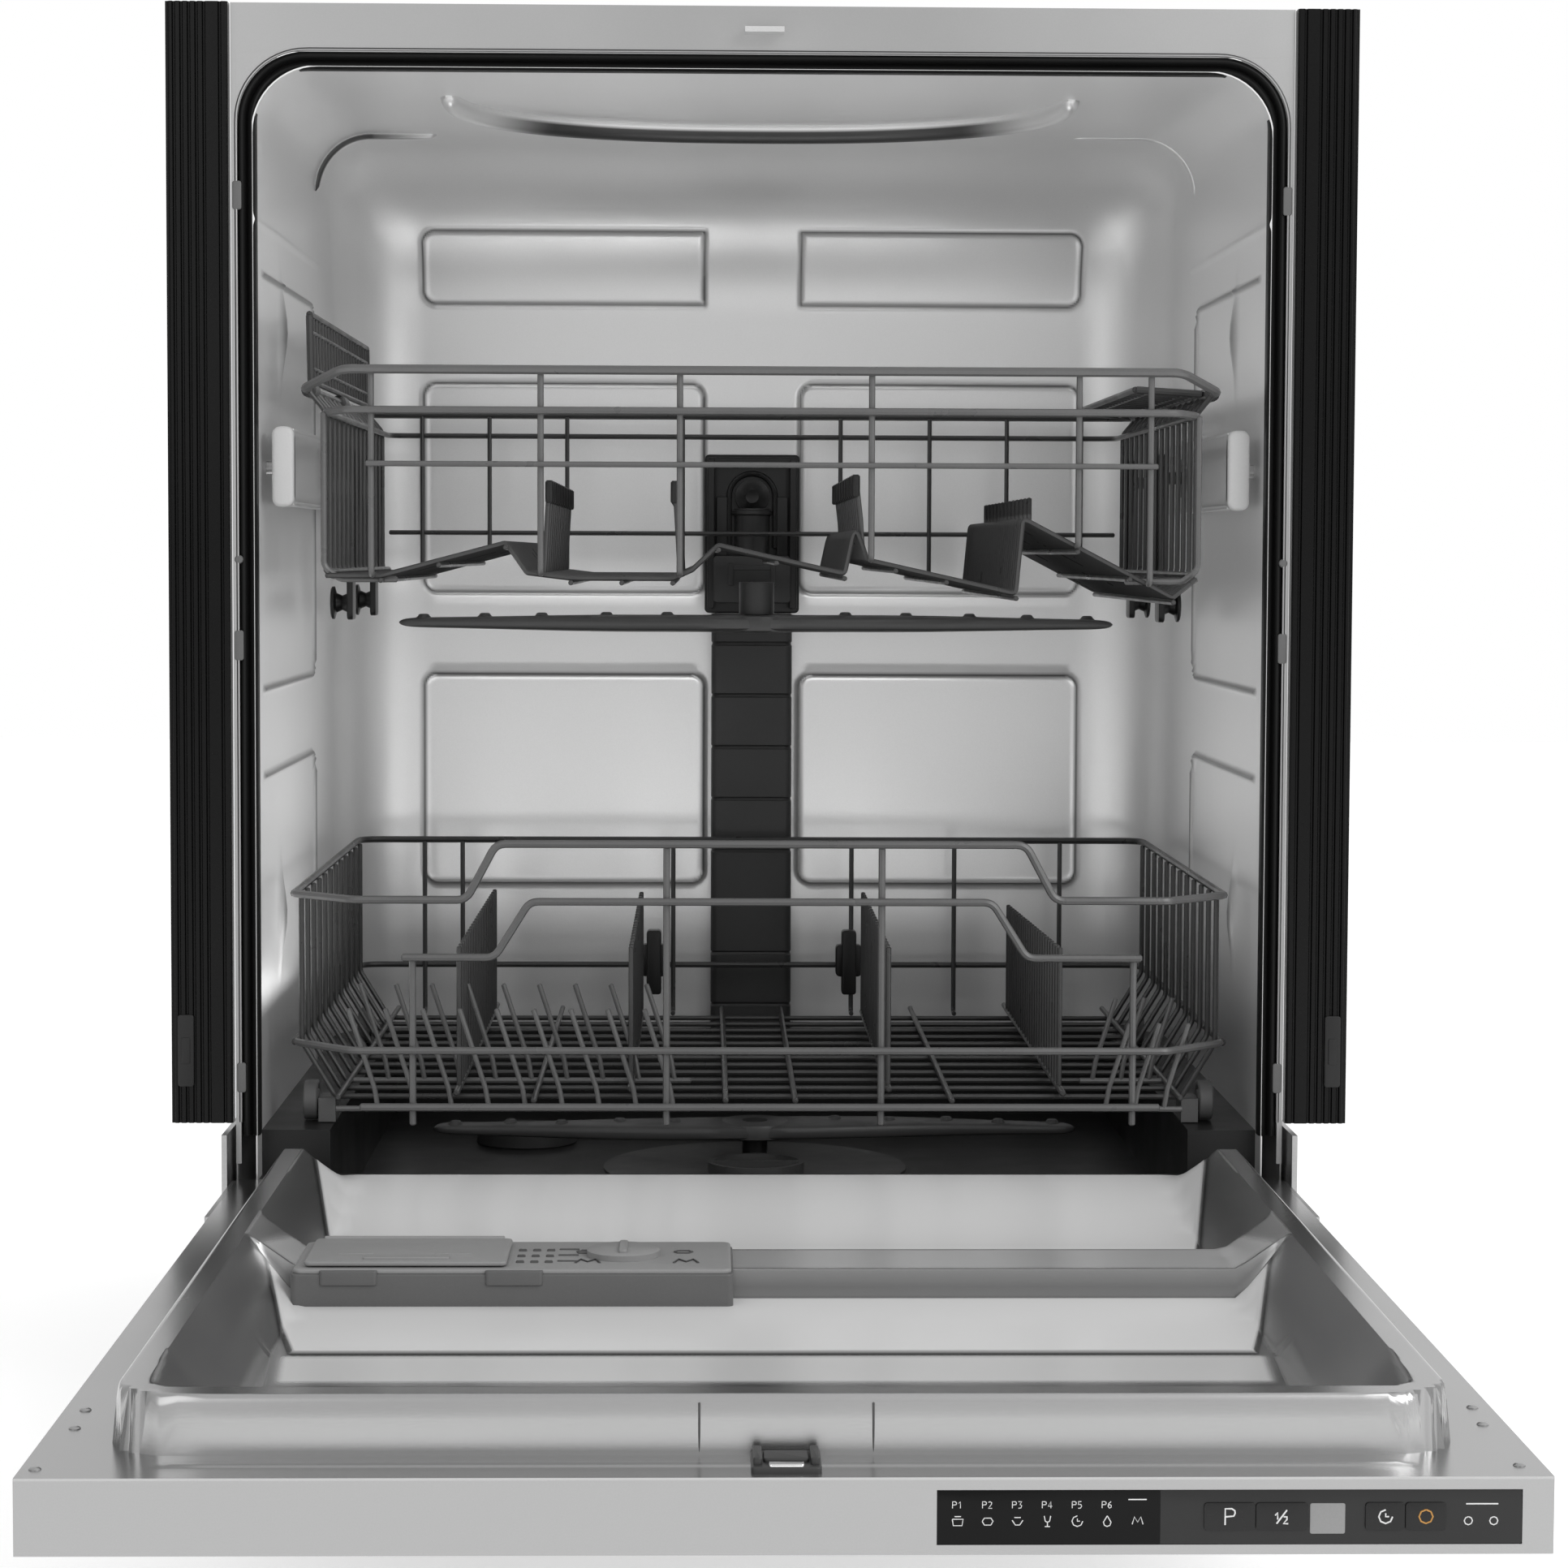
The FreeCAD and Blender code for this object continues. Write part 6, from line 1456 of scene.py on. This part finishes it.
@dataclass
class Dispenser:
    """Detergent and rinse-aid dispenser on the liner."""

    left: float = -232.0
    right: float = -18.0
    near: float = -325.0
    far: float = -251.0
    top: float = 163.0
    lid_pin: float = 1.5

    def build(self) -> None:
        """Body, raised top with signs, sliding lid with tabs and the rinse-aid cap."""
        body = Shape()
        body.block((self.left, self.near, 141), (self.right, self.far, self.top - 2.6), 3,
                   1.0)
        for x in (-204, -124):
            body.block((x - 14, self.near - 1.4, self.top - 8),
                       (x + 14, self.near + 5, self.top - 0.8), 2, 0.6)
        body.piece("dispenser_case", Look.GREY, "door", ("dispenser_body",))
        cover = Shape()
        cover.block((self.left + 1, self.near + 1, self.top - 3),
                    (self.right - 1, self.far - 1, self.top - 0.4), 4, 1.0)
        cover.piece("dispenser_cover", Look.SOFT_GREY, "door")
        signs = Shape()
        level = self.top - 0.3
        for row in range(3):
            y = self.near + 16 + 15 * row
            for x in (-124, -117, -110):
                signs.strokes(GLYPHS["bar"], (x, y), 4, level, 2.2, True)
            signs.strokes(GLYPHS["bar"], (-104, y), 10, level, 1.2, True)
        for x, sign in ((-95, "pan"), (-47, "plate")):
            signs.strokes(GLYPHS[sign], (x, self.near + 40), 9, level, 1.2, True)
            signs.strokes(GLYPHS["arc"], (x, self.near + 14), 12, level, 1.4, True)
        signs.piece("dispenser_signs", Look.PRINT_DARK, "door")
        low, high = node_span("detergent_lid")
        lid = Shape()
        base, pin = low[2], self.lid_pin
        lid.block((low[0], low[1], base), (high[0], high[1] - pin, base + 2.2), 3, 0.8)
        lid.block((low[0] + 28, low[1] + 6, base + 1), (high[0] - 28, low[1] + 12,
                                                        base + 3.2), 1.5, 0.5)
        for x in (low[0] + 14, low[0] + 62):
            lid.block((x, low[1] + 20, base + 1), (x + 18, low[1] + 21.6, base + 2.5),
                      0.5, 0.2)
        lid.lathe([(0, pin - 0.4), (0.4, pin), (high[0] - low[0] - 8.4, pin),
                   (high[0] - low[0] - 8, pin - 0.4)],
                  (low[0] + 4, high[1] - pin, base + 1.8), "x", 14)
        lid.piece("soap_lid", Look.SOFT_GREY, "detergent_lid", ("detergent_lid",))
        low, high = node_span("rinse_aid_cap")
        middle, radius = (low + high) / 2, (high[0] - low[0]) / 2
        cap = Shape()
        cap.lathe([(0, radius - 0.6), (high[2] - low[2] - 0.8, radius), (high[2] - low[2],
                   radius - 1.2)], (middle[0], middle[1], low[2]), "z", 40)
        cap.block((middle[0] - 2, middle[1] - radius + 4, high[2] - 0.5),
                  (middle[0] + 2, middle[1] + radius - 4, high[2] + 1.4), 1.2, 0.5)
        cap.piece("rinse_cap", Look.SOFT_GREY, "rinse_aid_cap", ("rinse_aid_cap",))


# ---------------------------------------------------------------- control strip
GLYPHS: dict[str, list[list[tuple[float, float]]]] = {
    "P": [[(0.1, 0), (0.1, 1), (0.5, 1), (0.68, 0.88), (0.7, 0.72), (0.62, 0.55),
           (0.1, 0.5)]],
    "1": [[(0.15, 0.75), (0.4, 1), (0.4, 0)]],
    "2": [[(0.1, 0.9), (0.35, 1), (0.6, 0.85), (0.55, 0.6), (0.1, 0), (0.65, 0)]],
    "3": [[(0.1, 1), (0.6, 1), (0.35, 0.58), (0.6, 0.4), (0.5, 0.05), (0.1, 0)]],
    "4": [[(0.5, 0), (0.5, 1), (0.08, 0.3), (0.68, 0.3)]],
    "5": [[(0.6, 1), (0.15, 1), (0.12, 0.55), (0.5, 0.58), (0.62, 0.3), (0.45, 0),
           (0.1, 0)]],
    "6": [[(0.55, 1), (0.2, 0.7), (0.1, 0.3), (0.3, 0), (0.55, 0.1), (0.6, 0.4),
           (0.35, 0.55), (0.12, 0.35)]],
    "pan": [[(0, 0.7), (0.1, 0.1), (0.9, 0.1), (1, 0.7), (0, 0.7)], [(0.2, 0.95),
                                                                    (0.8, 0.95)]],
    "plate": [[(0, 0.5), (0.2, 0.15), (0.8, 0.15), (1, 0.5), (0.8, 0.8), (0.2, 0.8),
               (0, 0.5)]],
    "bowl": [[(0, 0.6), (0.3, 0.15), (0.7, 0.15), (1, 0.6)], [(0.2, 0.85), (0.8, 0.85)]],
    "glass": [[(0.2, 1), (0.3, 0.5), (0.5, 0.4), (0.7, 0.5), (0.8, 1)],
              [(0.5, 0.4), (0.5, 0)], [(0.25, 0), (0.75, 0)]],
    "dial": [[(0.5, 1), (0.15, 0.85), (0, 0.5), (0.15, 0.15), (0.5, 0), (0.85, 0.15),
              (1, 0.5)], [(0.5, 0.75), (0.5, 0.5), (0.75, 0.5)]],
    "drop": [[(0.5, 1), (0.15, 0.4), (0.25, 0.1), (0.5, 0), (0.75, 0.1), (0.85, 0.4),
              (0.5, 1)]],
    "arc": [[(0, 0.2), (0.2, 0.9), (0.5, 0.4), (0.8, 0.9), (1, 0.2)]],
    "half": [[(0.0, 0.6), (0.18, 0.8), (0.18, 0.3)], [(0.1, 0), (0.85, 1)],
             [(0.6, 0.5), (0.85, 0.5), (0.85, 0.3), (0.6, 0), (0.95, 0)]],
    "ring": [[(0.5, 1), (0.15, 0.85), (0, 0.5), (0.15, 0.15), (0.5, 0), (0.85, 0.15),
              (1, 0.5), (0.85, 0.85), (0.5, 1)]],
    "bar": [[(0, 0.5), (1, 0.5)]],
}


@dataclass
class ControlStrip:
    """Dark window on the door's end with its signs, display and keys."""

    left: float = 58.0
    right: float = 285.7
    low: float = 125.4
    high: float = 147.0

    def build(self) -> None:
        """Makes the window, its signs and the keys."""
        low, high = node_span("control_window")
        near = low[1]
        glass = Shape()
        glass.block((self.left, near + 0.1, self.low), (145, high[1], self.high), 1.0, 0.4,
                    "y")
        glass.piece("window_left", Look.GLASS, "door", ("control_window",))
        keys = Shape()
        keys.block((144.2, near + 0.14, self.low), (self.right, high[1], self.high), 1.0,
                   0.4, "y")
        keys.piece("window_right", Look.GLASS_GREY, "door")
        display = Shape()
        display.block((202.9, near - 0.1, 129.6), (216.6, near + 0.8, 141.6), 0.8, 0.2, "y")
        display.piece("display", Look.PRINT_GREY, "door")
        signs = Shape()
        y = near + 0.08
        signs_row = ("pan", "plate", "bowl", "glass", "dial", "drop")
        for k, sign in enumerate(signs_row):
            x = 63.8 + 11.6 * k
            signs.strokes(GLYPHS["P"], (x, 139.8), 2.6, y, 0.36)
            signs.strokes(GLYPHS[str(k + 1)], (x + 2.3, 139.8), 2.6, y, 0.36)
            signs.strokes(GLYPHS[sign], (x + 0.2, 132.6), 4.2, y, 0.42)
        signs.strokes(GLYPHS["bar"], (132.2, 139.6), 7.2, y - 2e-3, 0.5)
        signs.strokes(GLYPHS["arc"], (133.8, 132.6), 4.2, y, 0.42)
        signs.strokes(GLYPHS["bar"], (263.6, 135.0), 12.6, y, 0.6)
        for x in (263.0, 272.9):
            signs.strokes(GLYPHS["ring"], (x, 133.0), 3.2, y, 0.5)
        signs.piece("window_signs", Look.PRINT, "door")
        for node, left, right, sign in (("key_program", 161.6, 181.8, "P"),
                                        ("key_half_load", 181.8, 202.0, "half"),
                                        ("key_delay", 224.4, 240.0, "dial"),
                                        ("key_power", 240.0, 255.8, "ring")):
            first, last = node_span(node)
            key = Shape()
            key.block((first[0], first[1], first[2]), (last[0], last[1], last[2]), 1.4, 0.3,
                      "y")
            key.piece(node + "_cap", Look.KEY, node, (node,))
            size = 6.4 if sign == "P" else 5.4
            mark = Shape()
            middle = (left + right) / 2 - size * (0.4 if sign == "P" else 0.5)
            mark.strokes(GLYPHS[sign], (middle, 136.5 - size / 2), size, first[1] + 0.02,
                         0.7)
            mark.piece(node + "_sign", Look.AMBER if sign == "ring" else Look.PRINT, node)


# ---------------------------------------------------------------- stage
@dataclass
class Stage:
    """Camera, soft lights, white surroundings and a pale floor."""

    position: tuple[float, float, float] = (-0.0326, -2.0154, 0.5079)
    yaw: float = 0.0217
    pitch: float = 0.0624
    roll: float = 0.0039
    lens: float = 84.3
    key_power: float = 26
    fill_power: float = 5
    glow_power: float = 1.1
    aim: tuple[float, float, float] = (0.0, 0.0, 0.4)

    def camera(self) -> None:
        """Puts the camera at its place, turned by yaw, pitch and roll."""
        ahead = Vector((math.sin(self.yaw) * math.cos(self.pitch),
                        math.cos(self.yaw) * math.cos(self.pitch), -math.sin(self.pitch)))
        right = Vector((math.cos(self.yaw), -math.sin(self.yaw), 0.0))
        down = ahead.cross(right)
        turned = right * math.cos(self.roll) - down * math.sin(self.roll)
        lower = right * math.sin(self.roll) + down * math.cos(self.roll)
        data = bpy.data.cameras.new("camera")
        data.lens, data.sensor_width, data.sensor_fit = self.lens, 36.0, "HORIZONTAL"
        data.dof.use_dof = False
        data.clip_start, data.clip_end = 0.05, 100.0
        camera = bpy.data.objects.new("camera", data)
        bpy.context.scene.collection.objects.link(camera)
        turn = Matrix((turned, -lower, -ahead)).transposed().to_4x4()
        camera.matrix_world = Matrix.Translation(self.position) @ turn
        bpy.context.scene.camera = camera

    def surroundings(self, tree: bpy.types.NodeTree) -> None:
        """White backdrop; the room that lights the metal is dimmer to the left."""
        background = tree.nodes["Background"]
        room = node_in(tree, "ShaderNodeBackground")
        where = node_in(tree, "ShaderNodeTexCoord")
        axes = node_in(tree, "ShaderNodeSeparateXYZ")
        side = node_in(tree, "ShaderNodeMapRange")
        side.inputs["From Min"].default_value = -0.9
        side.inputs["From Max"].default_value = 0.9
        side.inputs["To Min"].default_value = 0.55
        side.inputs["To Max"].default_value = 1.0
        seen = node_in(tree, "ShaderNodeLightPath")
        mix = node_in(tree, "ShaderNodeMixShader")
        tree.links.new(where.outputs["Generated"], axes.inputs[0])
        tree.links.new(axes.outputs[0], side.inputs["Value"])
        tree.links.new(side.outputs[0], room.inputs["Strength"])
        tree.links.new(seen.outputs["Is Camera Ray"], mix.inputs[0])
        tree.links.new(room.outputs[0], mix.inputs[1])
        tree.links.new(background.outputs[0], mix.inputs[2])
        tree.links.new(mix.outputs[0], tree.nodes["World Output"].inputs[0])
        for shade in (background, room):
            shade.inputs["Color"].default_value = (1, 1, 1, 1)

    def light(self, name: str, place: tuple[float, float, float],
              target: tuple[float, float, float], size: tuple[float, float],
              power: float) -> bpy.types.Object:
        """Soft rectangular light that looks at a point."""
        data = bpy.data.lights.new(name, "AREA")
        data.shape, data.size, data.size_y = "RECTANGLE", size[0], size[1]
        data.energy = power
        lamp = bpy.data.objects.new(name, data)
        lamp.visible_camera = False
        bpy.context.scene.collection.objects.link(lamp)
        way = Vector(target) - Vector(place)
        lamp.matrix_world = (Matrix.Translation(place)
                             @ way.to_track_quat("-Z", "Y").to_matrix().to_4x4())
        return lamp

    def inside(self, names: tuple[str, ...]) -> None:
        """Soft light within the tub that reaches only its own walls.

        Args:
            names: Pieces that it lights.
        """
        walls = bpy.data.collections.new("tub_surfaces")
        for name in names:
            walls.objects.link(bpy.data.objects[name])
        lamp = self.light("tub_glow", (-0.05, 0.2, 0.24), (-0.05, 0.2, 1), (0.42, 0.24),
                          self.glow_power)
        lamp.light_linking.receiver_collection = walls
        lamp.light_linking.blocker_collection = walls

    def floor(self) -> None:
        """Wide pale floor with a faint mottle."""
        mesh = bpy.data.meshes.new("floor")
        mesh.from_pydata([(-8, -8, 0), (8, -8, 0), (8, 8, 0), (-8, 8, 0)], [],
                         [(0, 1, 2, 3)])
        pale = Finish("pale_floor", "", 0.86, 0.9, 0.6, 0.7, fine=300, broad=3, relief=0.0)
        material = pale.material()
        glow = material.node_tree.nodes["Principled BSDF"].inputs
        glow["Emission Color"].default_value = (1, 1, 1, 1)
        glow["Emission Strength"].default_value = 0.45
        mesh.materials.append(material)
        floor = bpy.data.objects.new("floor", mesh)
        bpy.context.scene.collection.objects.link(floor)

    def build(self) -> None:
        """Makes the camera, the floor and the lights."""
        self.camera()
        self.floor()
        world = bpy.data.worlds.new("studio")
        bpy.context.scene.world = world
        world.use_nodes = True
        self.surroundings(world.node_tree)
        self.light("key", (1.7, -2.0, 1.9), self.aim, (1.5, 1.5), self.key_power)
        self.light("fill", (-1.2, -2.4, 1.2), self.aim, (1.2, 1.2), self.fill_power)
        bpy.context.scene.view_settings.view_transform = "Standard"


def main() -> None:
    """Builds the dishwasher from the tub outwards."""
    logging.basicConfig(level=logging.INFO, format="%(message)s")
    stage = Stage()
    for part in (stage, Cabinet(), Tub(), WaterFeed(), Rails(), UpperRack(),
                 LowerRack(), Door(), Dispenser(), ControlStrip()):
        LOG.info("building %s", type(part).__name__)
        part.build()
    stage.inside(("tub_walls", "tub_back", "tub_ridges"))


if __name__ == "__main__":
    main()
